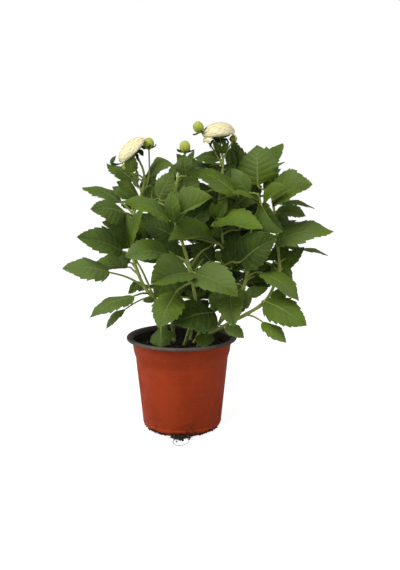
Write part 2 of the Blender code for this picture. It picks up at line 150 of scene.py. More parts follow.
STEMS = {
    "left": Stem(
        route=((-14, -4, 86), (-17, -7, 111), (-22, -10, 133), (-31, -12, 155), (-42, -10, 168),
               (-50, -6, 184), (-56, -2, 203), (-59, 2, 223), (-56, 6, 251), (-47, 8, 274),
               (-43, 6, 290), (-44, 4, 304), (-51, 1, 320)),
        branches=(((-47, 8, 274), (-40, 8, 286), (-37, 7, 302), (-37, 6, 327)),
                  ((-43, 6, 290), (-52, 2, 295), (-62, -2, 304))),
    ),
    "centre": Stem(
        route=((-2, -8, 86), (6, -12, 109), (12, -18, 132), (16, -24, 155), (14, -28, 172),
               (11, -30, 188), (7, -30, 205), (1, -28, 225), (-5, -26, 243), (-7, -22, 264),
               (-5, -16, 287), (0, -12, 306), (5, -10, 322)),
    ),
    "flower": Stem(
        route=((6, 2, 86), (18, 4, 106), (29, 6, 127), (41, 12, 157), (50, 16, 187), (50, 18, 210),
               (47, 18, 229), (44, 16, 247), (44, 14, 269), (47, 12, 294), (48, 10, 314),
               (46, 10, 326), (44, 10, 337)),
        branches=(((48, 11, 307), (41, 12, 320), (33, 9, 332), (23, 6, 346)),
                  ((48, 10, 315), (53, 12, 326), (59, 13, 335))),
    ),
    "right": Stem(
        route=((14, 4, 86), (32, 2, 110), (52, 0, 133), (66, 0, 151), (73, 0, 168), (78, 0, 191),
               (79, -2, 214), (81, -4, 238), (88, -6, 258), (90, -8, 268), (87, -10, 277)),
    ),
    "low_right": Stem(
        route=((12, -10, 86), (26, -16, 109), (50, -25, 127), (73, -36, 142), (93, -38, 156),
               (105, -26, 172), (113, -10, 191), (112, 4, 217), (110, 12, 245), (107, 18, 268),
               (104, 17, 289), (100, 14, 306)),
    ),
    "back_left": Stem(
        route=((-8, 10, 86), (-14, 24, 130), (-26, 36, 175), (-38, 46, 220), (-42, 54, 262),
               (-40, 58, 294)),
    ),
    "back_right": Stem(
        route=((8, 12, 86), (14, 28, 130), (28, 42, 175), (40, 54, 220), (48, 62, 262), (50, 66, 298)),
    ),
}

LEAVES = as_leaves({
    "left": (
        (170, (-81, -22, 188), (-130, -46, 196), 39, (0.38, -0.52, 0.77), 0.6, -11),
        (182, (-63, 2, 191), (-119, 14, 182), 30, (-0.23, -0.43, 0.88), 0.1, 19),
        (203, (-68, -8, 211), (-116, -30, 229), 38, (0.51, -0.66, 0.56), 0, 17),
        (252, (-71, 10, 266), (-118, 26, 283), 40, (0.25, -0.25, 0.94), 0.3, -6),
        (249, (-64, -8, 255), (-99, -34, 261), 39, (0.53, -0.56, 0.64), -0.3, -13),
        (278, (-57, 28, 290), (-91, 44, 311), 31, (0.28, -0.49, 0.83), -0.3, -13),
        (162, (-54, -30, 162), (-99, -60, 144), 37, (-0.16, -0.32, 0.93), 0, -7),
        (133, (-23, -27, 126), (-21, -50, 108), 32, (-0.24, -0.61, 0.76), -0.4, -25),
        (282, (-38, 14, 296), (-2, 30, 301), 34, (-0.07, -0.45, 0.89), 0.6, 0, 0.38),
    ),
    "centre": (
        (243, (-12, -32, 249), (-63, -60, 269), 41, (0.51, -0.37, 0.78), 0.5, 3),
        (245, (-4, -34, 247), (35, -58, 274), 41, (-0.68, -0.49, 0.55), 0.5, 35),
        (190, (16, -42, 190), (62, -82, 171), 40, (-0.26, -0.63, 0.73), 0.1, 22),
        (192, (9, -46, 191), (-31, -74, 183), 45, (0.25, -0.58, 0.78), -0.1, 32),
        (178, (-5, -46, 169), (-23, -76, 135), 39, (-0.11, -0.72, 0.69), 0.1, -5),
        (201, (-15, -24, 209), (-62, -42, 208), 39, (0.2, -0.58, 0.79), 0, 11, 0.14),
        (264, (-24, -22, 271), (-9, -27, 301), 25, (-0.36, -0.93, 0.02), 0.2, -11),
        (135, (28, -32, 119), (25, -50, 107), 24, (0, -0.55, 0.84), -0.3),
    ),
    "flower": (
        (247, (37, -10, 240), (91, -40, 238), 39, (-0.21, -0.43, 0.88), 0.6, 24),
        (210, (37, -18, 222), (-13, -52, 226), 45, (0.33, -0.4, 0.85), 0.2, 35),
        (191, (67, -22, 200), (105, -52, 232), 44, (-0.65, -0.75, 0.07), -0.8, 10),
        (147, (38, -34, 145), (-7, -60, 137), 51, (0.23, -0.61, 0.75), -0.8, -4),
        (269, (65, -8, 274), (10, -4, 304), 43, (0.38, -0.53, 0.76), -0.1, -2),
        (116, (50, -50, 131), (69, -70, 123), 18, (-0.18, -0.5, 0.85), 0.2, 6),
    ),
    "right": (
        (262, (92, -14, 263), (113, -44, 236), 33, (-0.8, -0.59, 0.01), -0.3, 27),
        (179, (90, -40, 190), (127, -72, 164), 37, (0.24, -0.43, 0.87), 0.3, 3),
        (154, (56, -40, 163), (58, -78, 137), 31, (-0.25, -0.55, 0.8), 0, 23),
    ),
    "low_right": (
        (272, (89, 8, 285), (87, 14, 332), 54, (-0.14, -0.98, 0.12), 0.7, -25),
        (292, (106, 46, 304), (123, 62, 336), 24, (-0.49, -0.66, 0.57), 0, 15),
        (266, (106, 2, 269), (147, -20, 287), 55, (-0.57, -0.52, 0.64), 0.3, 20),
        (217, (109, -4, 222), (172, -22, 235), 55, (-0.3, -0.42, 0.86), 0.6, 3),
        (152, (93, -50, 160), (134, -86, 140), 38, (-0.24, -0.67, 0.7), 0.1, -10),
        (142, (90, -56, 138), (114, -76, 119), 24, (0.23, -0.5, 0.83), 1.0, -13),
    ),
    "back_left": (
        (150, (-36, 52, 158), (-58, 98, 146), 42, (-0.1, 0.4, 0.9), 0, 12),
        (198, (-30, 68, 206), (-20, 124, 200), 44, (0, 0.3, 0.9), 0, 12),
        (200, (-56, 42, 209), (-110, 46, 218), 42, (-0.1, -0.1, 1), 0, 12),
        (256, (-50, 76, 264), (-72, 124, 264), 40, (-0.1, 0.3, 0.9), 0, 12),
        (116, (-6, 40, 130), (-10, 92, 124), 38, (0, 0.3, 0.9), 0, 12),
    ),
    "back_right": (
        (152, (40, 56, 158), (80, 96, 144), 42, (0.1, 0.4, 0.9), 0, 12),
        (200, (30, 78, 208), (26, 134, 200), 44, (0, 0.3, 0.9), 0, 12),
        (198, (58, 58, 206), (114, 70, 210), 42, (0.1, -0.1, 1), 0, 12),
        (258, (60, 82, 266), (94, 126, 264), 40, (0.1, 0.3, 0.9), 0, 12),
    ),
})

# Leaves that fill the plant out between the ones above, and have no solid of their own.
EXTRA_LEAVES = as_leaves({
    "left": (
        (208, (-58, -6, 210), (-41, -22, 264), 26, (-0.89, -0.44, 0.15), 0.2),
        (154, (-61, 2, 213), (-66, -2, 257), 38, (-0.23, -0.97, -0.11), 0, 40),
        (270, (-49, 2, 271), (-73, -12, 290), 24, (0.69, -0.55, 0.48), -0.3, -4),
        # Painted light: a high tone lightens this leaf, which lies in shade.
        (159, (-64, -26, 146), (-85, -34, 125), 16, (-0.5, -0.54, 0.68), 1.0),
        (280, (-52, 14, 284), (-53, 24, 304), 13, (-0.77, -0.58, 0.26), 0.2),
        (188, (-62, 14, 195), (-104, 40, 192), 32, (-0.36, -0.48, 0.8), -0.8, 7),
        (263, (-41, 14, 267), (-37, 20, 303), 22, (-0.34, -0.92, 0.19), -0.5, -10),
        (293, (-55, -8, 300), (-56, -14, 322), 18, (-0.34, -0.91, -0.25), 0, -6),
        (213, (-28, 10, 224), (-49, 14, 253), 36, (0.35, -0.86, 0.37), -0.5),
        (232, (-67, 6, 235), (-92, 0, 244), 17, (0.37, -0.76, 0.54), -0.6, -9),
        (281, (-37, 12, 285), (-30, 18, 310), 14, (-0.31, -0.9, 0.3), -0.3),
        (153, (-31, -20, 156), (-44, -24, 155), 9, (0.22, -0.73, 0.64), -0.3),
        (150, (-17, -18, 178), (-31, -20, 158), 17, (0.24, -0.83, 0.5), -0.5),
        (198, (-45, 12, 219), (-57, 14, 236), 14, (0.24, -0.83, 0.5), -0.5),
        (158, (-49, 8, 171), (-64, 10, 158), 13, (-0.24, -0.83, 0.5), -0.4),
        (252, (-60, 12, 270), (-81, 16, 284), 17, (0.2, -0.83, 0.5), -0.4),
        (205, (-66, 16, 245), (-83, 20, 232), 13, (0.1, -0.83, 0.55), -0.6),
    ),
    "centre": (
        (242, (-6, -38, 246), (-9, -46, 281), 21, (-0.39, -0.89, -0.23), 0.4),
        (255, (3, -4, 262), (15, -12, 305), 32, (-0.33, -0.94, -0.08), -0.1),
        (301, (6, -8, 304), (-5, -12, 321), 15, (0.57, -0.8, 0.19), -0.3),
        (299, (7, -6, 303), (16, 0, 317), 12, (-0.32, -0.77, 0.55), -0.2),
        (294, (6, -20, 297), (4, -28, 320), 24, (-0.22, -0.92, -0.34), -0.2),
        (211, (-2, 2, 223), (-44, 6, 241), 37, (0.18, -0.78, 0.59), -0.7),
        (227, (8, 4, 239), (35, 8, 263), 32, (-0.22, -0.89, 0.4), -0.9, 14),
        (189, (3, -6, 198), (-34, -10, 219), 32, (0.34, -0.84, 0.43), -0.7),
        (155, (-1, -26, 161), (-15, -20, 179), 26, (0.26, -0.83, 0.49), -0.7),
        (276, (-18, 4, 285), (17, 10, 287), 22, (0.09, -0.76, 0.64), -0.1),
        (253, (-34, 10, 269), (-33, 16, 294), 32, (-0.26, -0.94, 0.23), -0.2, -25),
        (195, (36, 24, 216), (24, 30, 251), 39, (-0.14, -0.98, 0.12), -1.0),
        (286, (-11, 0, 292), (-6, 6, 311), 12, (-0.3, -0.89, 0.35), -0.2),
        (302, (5, -14, 304), (15, -18, 324), 10, (-0.44, -0.9, 0.05), -0.4, -10),
        (185, (-18, -4, 199), (-51, 0, 200), 12, (-0.09, -0.82, 0.56), -0.6),
        (182, (25, 0, 201), (5, 2, 188), 13, (0.1, -0.9, 0.4), -0.7),
        (289, (13, 12, 300), (-3, 14, 310), 15, (0.1, -0.8, 0.6), -0.3),
        (228, (25, 16, 232), (5, 18, 247), 15, (0.1, -0.9, 0.4), -0.8),
    ),
    "flower": (
        (241, (42, -6, 249), (52, -14, 271), 16, (-0.49, -0.87, -0.1), 0, 14),
        (242, (41, -2, 249), (35, -6, 267), 12, (-0.22, -0.94, -0.27), -0.1),
        (313, (45, 12, 315), (16, 26, 318), 28, (-0.18, -0.58, 0.79), -0.2),
        (284, (73, 24, 294), (60, 30, 337), 29, (-0.47, -0.88, -0.02), -0.5, -11),
        (298, (60, 20, 303), (57, 30, 329), 14, (-0.28, -0.91, 0.32), -0.4, 23),
        (190, (64, 10, 196), (65, 18, 232), 23, (-0.26, -0.94, 0.22), -0.7),
        (190, (36, 16, 195), (12, 20, 216), 32, (0.21, -0.89, 0.41), -0.7),
        (192, (45, 2, 197), (41, -4, 212), 8, (-0.12, -0.91, -0.4), 0.2),
        (155, (47, -24, 167), (38, -42, 146), 25, (-0.16, -0.71, 0.68)),
        (228, (68, 10, 236), (38, 20, 273), 36, (0.28, -0.84, 0.46), -0.8),
        (255, (64, 22, 262), (95, 30, 285), 33, (-0.17, -0.83, 0.54), -0.4, 11),
        (264, (40, 20, 266), (3, 28, 293), 25, (0.24, -0.78, 0.57), -0.5, -12),
        (185, (59, 12, 189), (52, 16, 221), 23, (-0.25, -0.97, 0.06), -0.8),
        (287, (47, 10, 288), (61, 20, 311), 25, (-0.12, -0.88, 0.46), -0.7),
        (247, (45, 28, 251), (38, 36, 287), 45, (-0.15, -0.97, 0.19), -1.0),
        (238, (74, 28, 249), (77, 36, 287), 39, (-0.14, -0.97, 0.21), -1.0),
        (208, (53, 20, 209), (62, 26, 242), 28, (-0.13, -0.97, 0.21), -0.9),
        (233, (38, 2, 239), (45, -6, 226), 14, (-0.45, -0.85, 0.28), -0.5),
        (321, (47, 6, 322), (36, 0, 336), 9, (0.02, -0.91, -0.4), -0.5),
        (321, (47, 6, 322), (54, 0, 334), 9, (-0.55, -0.83, -0.06), -0.6),
        (300, (46, 22, 304), (24, 24, 310), 14, (0.1, -0.8, 0.6), -0.4),
    ),
    "right": (
        (265, (89, -8, 265), (56, -30, 278), 20, (0.47, -0.2, 0.86), 0.4, 8),
        (264, (94, -10, 266), (116, -32, 285), 26, (-0.79, -0.35, 0.51), 0.5, 24),
        (275, (78, -10, 278), (57, -6, 305), 22, (-0.33, -0.94, -0.12), 0.5, -8),
        (149, (74, -20, 157), (65, -26, 170), 9, (0.64, -0.76, 0.13), 0.4),
        (151, (76, -18, 158), (87, -12, 171), 13, (-0.26, -0.76, 0.59)),
        (164, (76, 12, 168), (112, 24, 170), 23, (0.19, -0.68, 0.71), -0.7),
        (166, (74, 14, 171), (96, 20, 187), 23, (-0.12, -0.87, 0.48), -0.8),
        (138, (71, -16, 146), (81, -20, 160), 13, (-0.58, -0.8, 0.17), -0.3),
        (133, (68, -10, 140), (72, -14, 156), 12, (-0.42, -0.9, -0.11), -0.3),
        (153, (79, -18, 160), (99, -22, 170), 13, (-0.4, -0.77, 0.49), -0.1),
        (174, (86, 10, 179), (109, 14, 193), 22, (-0.12, -0.88, 0.47), -0.7, 10),
    ),
    "low_right": (
        (300, (103, 16, 301), (119, 4, 312), 10, (-0.69, -0.3, 0.65), 0.2),
        (251, (109, 8, 253), (143, -6, 251), 33, (-0.15, -0.47, 0.87), 0.3, 6),
        (261, (115, 18, 264), (158, 26, 258), 17, (0.19, -0.35, 0.92), -0.5, 3),
        # Painted light: a high tone lightens this leaf, which lies in shade.
        (197, (143, 14, 210), (175, 22, 202), 13, (0.32, -0.35, 0.88), 1.0, -4),
        (186, (121, -2, 192), (141, -12, 216), 18, (-0.61, -0.77, 0.2)),
        (214, (113, 14, 218), (142, 26, 211), 23, (0.4, -0.54, 0.74), -0.4),
        (194, (107, 0, 197), (127, -10, 173), 24, (0.16, -0.86, 0.49), -0.3, 9),
        (250, (110, 22, 253), (131, 34, 238), 20, (0.63, -0.71, 0.31), -0.8),
        (187, (99, 10, 196), (102, 14, 212), 26, (-0.33, -0.9, 0.27), -0.5),
        (304, (101, 24, 308), (100, 34, 331), 14, (-0.27, -0.89, 0.36), -0.1),
        (276, (118, 22, 280), (132, 32, 305), 22, (-0.22, -0.86, 0.46), -0.1, 10),
        (189, (121, 8, 196), (111, 14, 218), 24, (-0.35, -0.93, 0.11), -0.5, -19),
        (157, (100, -40, 159), (121, -46, 171), 17, (-0.46, -0.76, 0.46), -0.2),
        (274, (99, 14, 277), (113, 22, 302), 17, (-0.24, -0.88, 0.41), -0.2),
    ),
})

FLOWERS = {
    "left_flower": Head((-51, 1, 320), (-0.66, -0.25, 0.7), 19.0, 10.5),
    "top_flower": Head((44, 10, 337), (-0.12, -0.1, 0.98), 18.4, 13.0),
}

# The angles round each head, in degrees, of the petals that hang loose from its edge.
LOOSE_PETALS = {"left_flower": (8.0, 200.0), "top_flower": (-12.0, 18.0, 44.0, 174.0, 196.0)}

# A bract that stands clear of a head and curls: its foot, the point that its curve bends towards and its tip.
CURLED_BRACTS = {"left_flower": ((-64, -8, 311), (-88, -9, 304), (-73, -9, 319))}

BUDS = {
    "top_bud": Head((23, 6, 346), (-0.5, -0.3, 0.81), 5.5, 13.0),
    "top_side_bud": Head((59, 13, 335), (0.3, 0.1, 0.95), 3.9, 8.0),
    "centre_bud": Head((5, -10, 322), (-0.05, 0.0, 1.0), 5.6, 13.5),
    "left_bud": Head((-37, 6, 327), (-0.05, 0.0, 1.0), 5.9, 12.6),
    "left_side_bud": Head((-62, -2, 304), (-0.5, -0.3, 0.8), 3.1, 6.4),
}

ROOT_ROUTE = (
    (-1, -42.5, 3.6), (-3.5, -46.5, 2.2), (-6, -51, 1.0), (-9, -60, 0.8), (-5, -69, 0.8),
    (4, -68, 0.8), (9, -58, 0.8), (7, -50, 1.0),
)


# ---- Curves and meshes ----


def unit(vectors: Array) -> Array:
    """The vectors, each with length 1."""
    return vectors / np.maximum(np.linalg.norm(vectors, axis=-1, keepdims=True), 1e-9)


def curve_at(points: Array, stages: Array) -> Array:
    """Points on the Catmull-Rom curve through some points.

    Args:
        points: The points, one per row.
        stages: Where on the curve, counted in points from the first.

    Returns:
        One point per stage.
    """
    ends = np.vstack([2 * points[0] - points[1], points, 2 * points[-1] - points[-2]])
    index = np.clip(stages.astype(int), 0, len(points) - 2)
    t = (stages - index)[:, None]
    before, near, far, after = (ends[index + step] for step in range(4))
    return 0.5 * (
        2 * near
        + (far - before) * t
        + (2 * before - 5 * near + 4 * far - after) * t ** 2
        + (3 * near - before - 3 * far + after) * t ** 3
    )


def smooth_route(route: tuple[Point, ...], spacing: float) -> Array:
    """Points about that far apart along the smooth curve through a route."""
    points = np.array(route, float)
    stages = [0.0]
    for index, length in enumerate(np.linalg.norm(np.diff(points, axis=0), axis=1)):
        pieces = max(1, round(length / spacing))
        stages += [index + piece / pieces for piece in range(1, pieces + 1)]
    return curve_at(points, np.array(stages))


def frames_along(points: Array) -> tuple[Array, Array, Array]:
    """Unit vectors along a line and two across it that don't twist round it.

    Args:
        points: The line's points, one per row.

    Returns:
        The tangents, the normals and the binormals, one row per point.
    """
    tangents = unit(np.gradient(points, axis=0))
    seed = np.array([0.0, 1.0, 0.0]) if abs(tangents[0][1]) < 0.9 else np.array([1.0, 0.0, 0.0])
    normals = []
    for tangent in tangents:
        seed = unit(seed - tangent * seed.dot(tangent))
        normals.append(seed)
    normals = np.array(normals)
    return tangents, normals, np.cross(tangents, normals)


class MeshDraft:
    """Gathers the points, faces, finishes and point values of one piece."""

    def __init__(self) -> None:
        """Start empty."""
        self.points: list[Array] = []
        self.values: dict[str, list[Array]] = {name: [] for name in VALUES}
        self.faces: list[tuple[int, ...]] = []
        self.finishes: list[int] = []
        self.count = 0

    def add_points(self, points: Array, **values: Array | float) -> Array:
        """Add points and what each carries for its finish.

        Args:
            points: The points, with any leading shape.
            values: A value per point, or one for all, by its name in VALUES.

        Returns:
            The new points' numbers, in the same leading shape.
        """
        shape = points.shape[:-1]
        size = int(np.prod(shape))
        for name, store in self.values.items():
            store.append(np.broadcast_to(values.get(name, 0.0), shape).reshape(-1).astype(np.float32))
        self.points.append(points.reshape(-1, 3))
        first = self.count
        self.count += size
        return np.arange(first, first + size).reshape(shape)

    def add_faces(self, faces: Array, finish: int) -> None:
        """Add faces, one per row of point numbers, in one finish."""
        self.faces += [tuple(face) for face in faces.tolist()]
        self.finishes += [finish] * len(faces)

    def add_skin(self, grid: Array, finish: int, closed: bool = False) -> None:
        """Add the quads between a grid's neighbours.

        Args:
            grid: Point numbers in rows and columns.
            finish: The finish's number.
            closed: Whether the last column joins the first.
        """
        if closed:
            grid = np.hstack([grid, grid[:, :1]])
        corners = (grid[:-1, :-1], grid[1:, :-1], grid[1:, 1:], grid[:-1, 1:])
        self.add_faces(np.stack([corner.ravel() for corner in corners], axis=1), finish)

    def add_closed(self, grid: Array, finish: int, last: int | None = None) -> None:
        """Add the skin of a body from a grid whose rows go round it, with both ends shut.

        Args:
            grid: Point numbers in rows and columns.
            finish: The finish's number.
            last: The finish's number on the last end, if it is another.
        """
        self.add_skin(grid, finish, closed=True)
        self.add_faces(grid[:1, ::-1], finish)
        self.add_faces(grid[-1:], finish if last is None else last)

    def add_sheet(self, top: Array, under: Array, finishes: tuple[int, int], **values: Array | float) -> None:
        """Add a thin sheet with two faces that meet at its edge.

        Args:
            top: The upper face's points in rows and columns.
            under: The lower face's points, of which only the ones inside the edge are used.
            finishes: The upper and lower finishes' numbers.
            values: As add_points has them, in the grid's shape.
        """
        upper = self.add_points(top, **values)
        lower = upper.copy()
        inner = {name: np.broadcast_to(value, top.shape[:2])[1:-1, 1:-1] for name, value in values.items()}
        lower[1:-1, 1:-1] = self.add_points(under[1:-1, 1:-1], **inner)
        self.add_skin(upper, finishes[0])
        self.add_skin(lower[:, ::-1], finishes[1])

    def add_tube(self, points: Array, radii: Array, sides: int, finish: int, **values: float) -> None:
        """Add a round tube with closed ends.

        Args:
            points: The middle line's points, one per row.
            radii: The radius at each point.
            sides: How many points go round it.
            finish: The finish's number.
            values: As add_points has them, one for all.
        """
        _, normals, binormals = frames_along(points)
        turns = np.linspace(0.0, 2 * math.pi, sides, endpoint=False)
        ring = np.cos(turns)[None, :, None] * normals[:, None] + np.sin(turns)[None, :, None] * binormals[:, None]
        grid = self.add_points(points[:, None] + ring * np.asarray(radii)[:, None, None], **values)
        self.add_skin(grid[::-1], finish, closed=True)
        self.add_faces(grid[:1, ::-1], finish)
        self.add_faces(grid[-1:], finish)

    def build(self, name: str, materials: list[Material], crease: float = 50.0) -> Object:
        """Make the piece.

        Args:
            name: The object's name.
            materials: The finishes, in the order of their numbers.
            crease: Edges sharper than this many degrees stay crisp.

        Returns:
            The new object, linked into the scene.
        """
        mesh = bpy.data.meshes.new(name)
        mesh.from_pydata((np.vstack(self.points) * MM).tolist(), [], self.faces)
        mesh.polygons.foreach_set("material_index", self.finishes)
        for value, stored in self.values.items():
            layer = mesh.attributes.new(value, "FLOAT", "POINT")
            layer.data.foreach_set("value", np.concatenate(stored))
        for material in materials:
            mesh.materials.append(material)
        mesh.shade_smooth()
        mesh.set_sharp_from_angle(angle=math.radians(crease))
        return add_object(name, mesh)


def add_object(name: str, data: bpy.types.ID | None) -> Object:
    """A new object with that data, linked into the scene."""
    obj = bpy.data.objects.new(name, data)
    bpy.context.scene.collection.objects.link(obj)
    return obj


def settle(piece: Object, slot: Slot, *nodes: str) -> Object:
    """Fix a piece to the plant, in the place of its CAD nodes.

    Args:
        piece: The finished piece.
        slot: The record's material slot; not used.
        nodes: The CAD nodes that it stands for.

    Returns:
        The piece.
    """
    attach(piece, BODY)
    if nodes:
        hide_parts(*nodes)
    log.info("%s: %d faces%s", piece.name, len(piece.data.polygons), f", for {', '.join(nodes)}" if nodes else "")
    return piece


def strip(line: Array, up: Array, half: Array, cup: float, columns: int, thickness: float) -> tuple[Array, Array]:
    """A long thin sheet that follows a line, hollow or crowned across.

    Args:
        line: The middle line's points.
        up: The way that the upper face looks at each point, or one way for all.
        half: Half the width at each point.
        cup: How far the edges stand above the middle, as a share of half the width.
        columns: How many points go across.
        thickness: How thick the sheet is at its middle.

    Returns:
        The upper and the lower points in rows and columns, as add_sheet takes them.
    """
    along = unit(np.gradient(line, axis=0))
    side = unit(np.cross(np.broadcast_to(up, line.shape), along))
    normal = np.cross(along, side)
    across = np.linspace(-1.0, 1.0, columns)
    out = side[:, None] * (half[:, None] * across)[..., None]
    rise = normal[:, None] * (cup * half[:, None] * across ** 2)[..., None]
    top = line[:, None] + out + rise
    return top, top - normal[:, None] * thickness


# ---- Finishes ----


class ShaderTree:
    """Adds nodes to one node tree and joins them."""

    def __init__(self, tree: NodeTree) -> None:
        """Work on that tree."""
        self.tree = tree

    def node(self, kind: str, **settings: object) -> bpy.types.Node:
        """A new node of that kind with those settings."""
        node = self.tree.nodes.new(kind)
        for name, value in settings.items():
            setattr(node, name, value)
        return node

    def feed(self, socket: Socket, value: object) -> None:
        """Give an input a value, or link it if the value is another node's output."""
        if isinstance(value, Socket):
            self.tree.links.new(value, socket)
        elif isinstance(value, tuple) and socket.type == "RGBA":
            socket.default_value = (*value, 1.0)
        else:
            socket.default_value = value

    def maths(self, kind: str, a: object, b: object = 0.0, clamp: bool = False) -> Socket:
        """The result of a Math node of that kind on two values."""
        node = self.node("ShaderNodeMath", operation=kind, use_clamp=clamp)
        self.feed(node.inputs[0], a)
        self.feed(node.inputs[1], b)
        return node.outputs[0]

    def times(self, a: object, b: object, clamp: bool = False) -> Socket:
        """One value times another."""
        return self.maths("MULTIPLY", a, b, clamp)

    def plus(self, a: object, b: object, clamp: bool = False) -> Socket:
        """One value plus another."""
        return self.maths("ADD", a, b, clamp)

    def ramp(self, value: object, low: object, high: object, to: tuple[float, float] = (0.0, 1.0)) -> Socket:
        """The value eased from low..high to the range given, and held at its ends."""
        node = self.node("ShaderNodeMapRange", interpolation_type="SMOOTHSTEP")
        for name, given in zip(("Value", "From Min", "From Max", "To Min", "To Max"), (value, low, high, *to)):
            self.feed(node.inputs[name], given)
        return node.outputs[0]

    def mix(self, share: object, first: object, second: object) -> Socket:
        """A mix of two colours."""
        node = self.node("ShaderNodeMix", data_type="RGBA")
        for index, given in zip((0, 6, 7), (share, first, second)):
            self.feed(node.inputs[index], given)
        return node.outputs[2]

    def noise(self, vector: object, scale: float, detail: float = 3.0, rough: float = 0.55) -> Socket:
        """A noise texture's value."""
        node = self.node("ShaderNodeTexNoise")
        self.feed(node.inputs["Vector"], vector)
        for name, given in (("Scale", scale), ("Detail", detail), ("Roughness", rough)):
            self.feed(node.inputs[name], given)
        return node.outputs["Fac"]

    def cells(self, vector: object, scale: float, feature: str = "DISTANCE_TO_EDGE") -> Socket:
        """A Voronoi texture's distance."""
        node = self.node("ShaderNodeTexVoronoi", feature=feature)
        self.feed(node.inputs["Vector"], vector)
        self.feed(node.inputs["Scale"], scale)
        return node.outputs["Distance"]

    def value(self, name: str) -> Socket:
        """The value of that name that each point of the mesh carries."""
        return self.node("ShaderNodeAttribute", attribute_name=name).outputs["Fac"]

    def place(self, stretch: Point = (1.0, 1.0, 1.0)) -> Socket:
        """Where the point is on the object, in metres, stretched on each axis."""
        where = self.node("ShaderNodeTexCoord").outputs["Object"]
        mapping = self.node("ShaderNodeMapping")
        self.feed(mapping.inputs["Vector"], where)
        self.feed(mapping.inputs["Scale"], stretch)
        return mapping.outputs[0]

    def group(self, tree: NodeTree, **inputs: object) -> bpy.types.Node:
        """A node group's node with those inputs, where _ in a name stands for a space."""
        node = self.node("ShaderNodeGroup", node_tree=tree)
        for name, given in inputs.items():
            self.feed(node.inputs[name.replace("_", " ")], given)
        return node


class EffectGroup:
    """A shader node group in the making, with its inputs and outputs."""

    def __init__(self, name: str, inputs: dict[str, float], outputs: tuple[str, ...]) -> None:
        """Start a group whose sockets all hold plain values.

        Args:
            name: The group's name.
            inputs: Each input's name and its usual value.
            outputs: Each output's name.
        """
        self.tree = bpy.data.node_groups.new(name, "ShaderNodeTree")
        for title, usual in inputs.items():
            socket = self.tree.interface.new_socket(title, in_out="INPUT", socket_type="NodeSocketFloat")
            socket.default_value = usual
        for title in outputs:
            self.tree.interface.new_socket(title, in_out="OUTPUT", socket_type="NodeSocketFloat")
        self.shader = ShaderTree(self.tree)
        self.inputs = self.shader.node("NodeGroupInput").outputs
        self.outputs = self.shader.node("NodeGroupOutput").inputs

    def give(self, title: str, value: object) -> None:
        """Send a value out of the group."""
        self.shader.feed(self.outputs[title], value)


@dataclass(frozen=True)
class Effects:
    """The effects that several finishes share."""

    mottle: NodeTree
    veins: NodeTree
    grime: NodeTree

    @classmethod
    def make(cls) -> "Effects":
        """Build each group once."""
        return cls(cls._mottle(), cls._veins(), cls._grime())

    @staticmethod
    def _mottle() -> NodeTree:
        """Soft blotches with finer ones in them, as a mask and as a height."""
        inputs = {"Broad Scale": 40.0, "Fine Scale": 400.0, "Contrast": 0.5}
        effect = EffectGroup("mottle", inputs, ("Mask", "Height"))
        tree = effect.shader
        where = tree.place()
        broad = tree.noise(where, effect.inputs["Broad Scale"], 2.0)
        fine = tree.noise(where, effect.inputs["Fine Scale"], 4.0)
        blend = tree.plus(tree.times(broad, 0.7), tree.times(fine, 0.3))
        spread = tree.times(tree.maths("SUBTRACT", blend, 0.5), tree.times(effect.inputs["Contrast"], 5.0))
        effect.give("Mask", tree.plus(spread, 0.5, clamp=True))
        effect.give("Height", fine)
        return effect.tree

    @staticmethod
    def _veins() -> NodeTree:
        """A leaf's midrib, side veins and the net between them, read from the values on its points."""
        inputs = {"Rib Width": 0.06, "Vein Width": 0.12, "Net Scale": 420.0}
        effect = EffectGroup("veins", inputs, ("Rib", "Vein", "Net", "Height"))
        tree = effect.shader
        across = tree.maths("ABSOLUTE", tree.value("across"))
        ribless = tree.maths("DIVIDE", across, effect.inputs["Rib Width"])
        rib = tree.ramp(ribless, 0.25, 1.0, (1.0, 0.0))
        from_vein = tree.maths("PINGPONG", tree.value("phase"), 0.5)
        veinless = tree.maths("DIVIDE", from_vein, effect.inputs["Vein Width"])
        vein = tree.times(tree.ramp(veinless, 0.1, 1.0, (1.0, 0.0)), tree.ramp(across, 0.7, 1.0, (1.0, 0.15)))
        net = tree.ramp(tree.cells(tree.place(), effect.inputs["Net Scale"]), 0.0, 0.16, (1.0, 0.0))
        sunk = tree.plus(tree.times(vein, 0.6), tree.times(net, 0.22))
        effect.give("Rib", rib)
        effect.give("Vein", vein)
        effect.give("Net", net)
        effect.give("Height", tree.maths("SUBTRACT", 1.0, tree.maths("MAXIMUM", sunk, rib)))
        return effect.tree

    @staticmethod
    def _grime() -> NodeTree:
        """Splashes and dust that thin out with height."""
        effect = EffectGroup("grime", {"Scale": 60.0, "Low": 0.0, "High": 0.05, "Amount": 0.5}, ("Mask",))
        tree = effect.shader
        where = tree.place()
        split = tree.node("ShaderNodeSeparateXYZ")
        tree.feed(split.inputs[0], where)
        fall = tree.ramp(split.outputs[2], effect.inputs["Low"], effect.inputs["High"], (1.0, 0.0))
        specks = tree.ramp(tree.noise(where, effect.inputs["Scale"], 6.0, 0.65), 0.5, 0.72)
        effect.give("Mask", tree.times(tree.times(specks, fall), effect.inputs["Amount"], clamp=True))
        return effect.tree


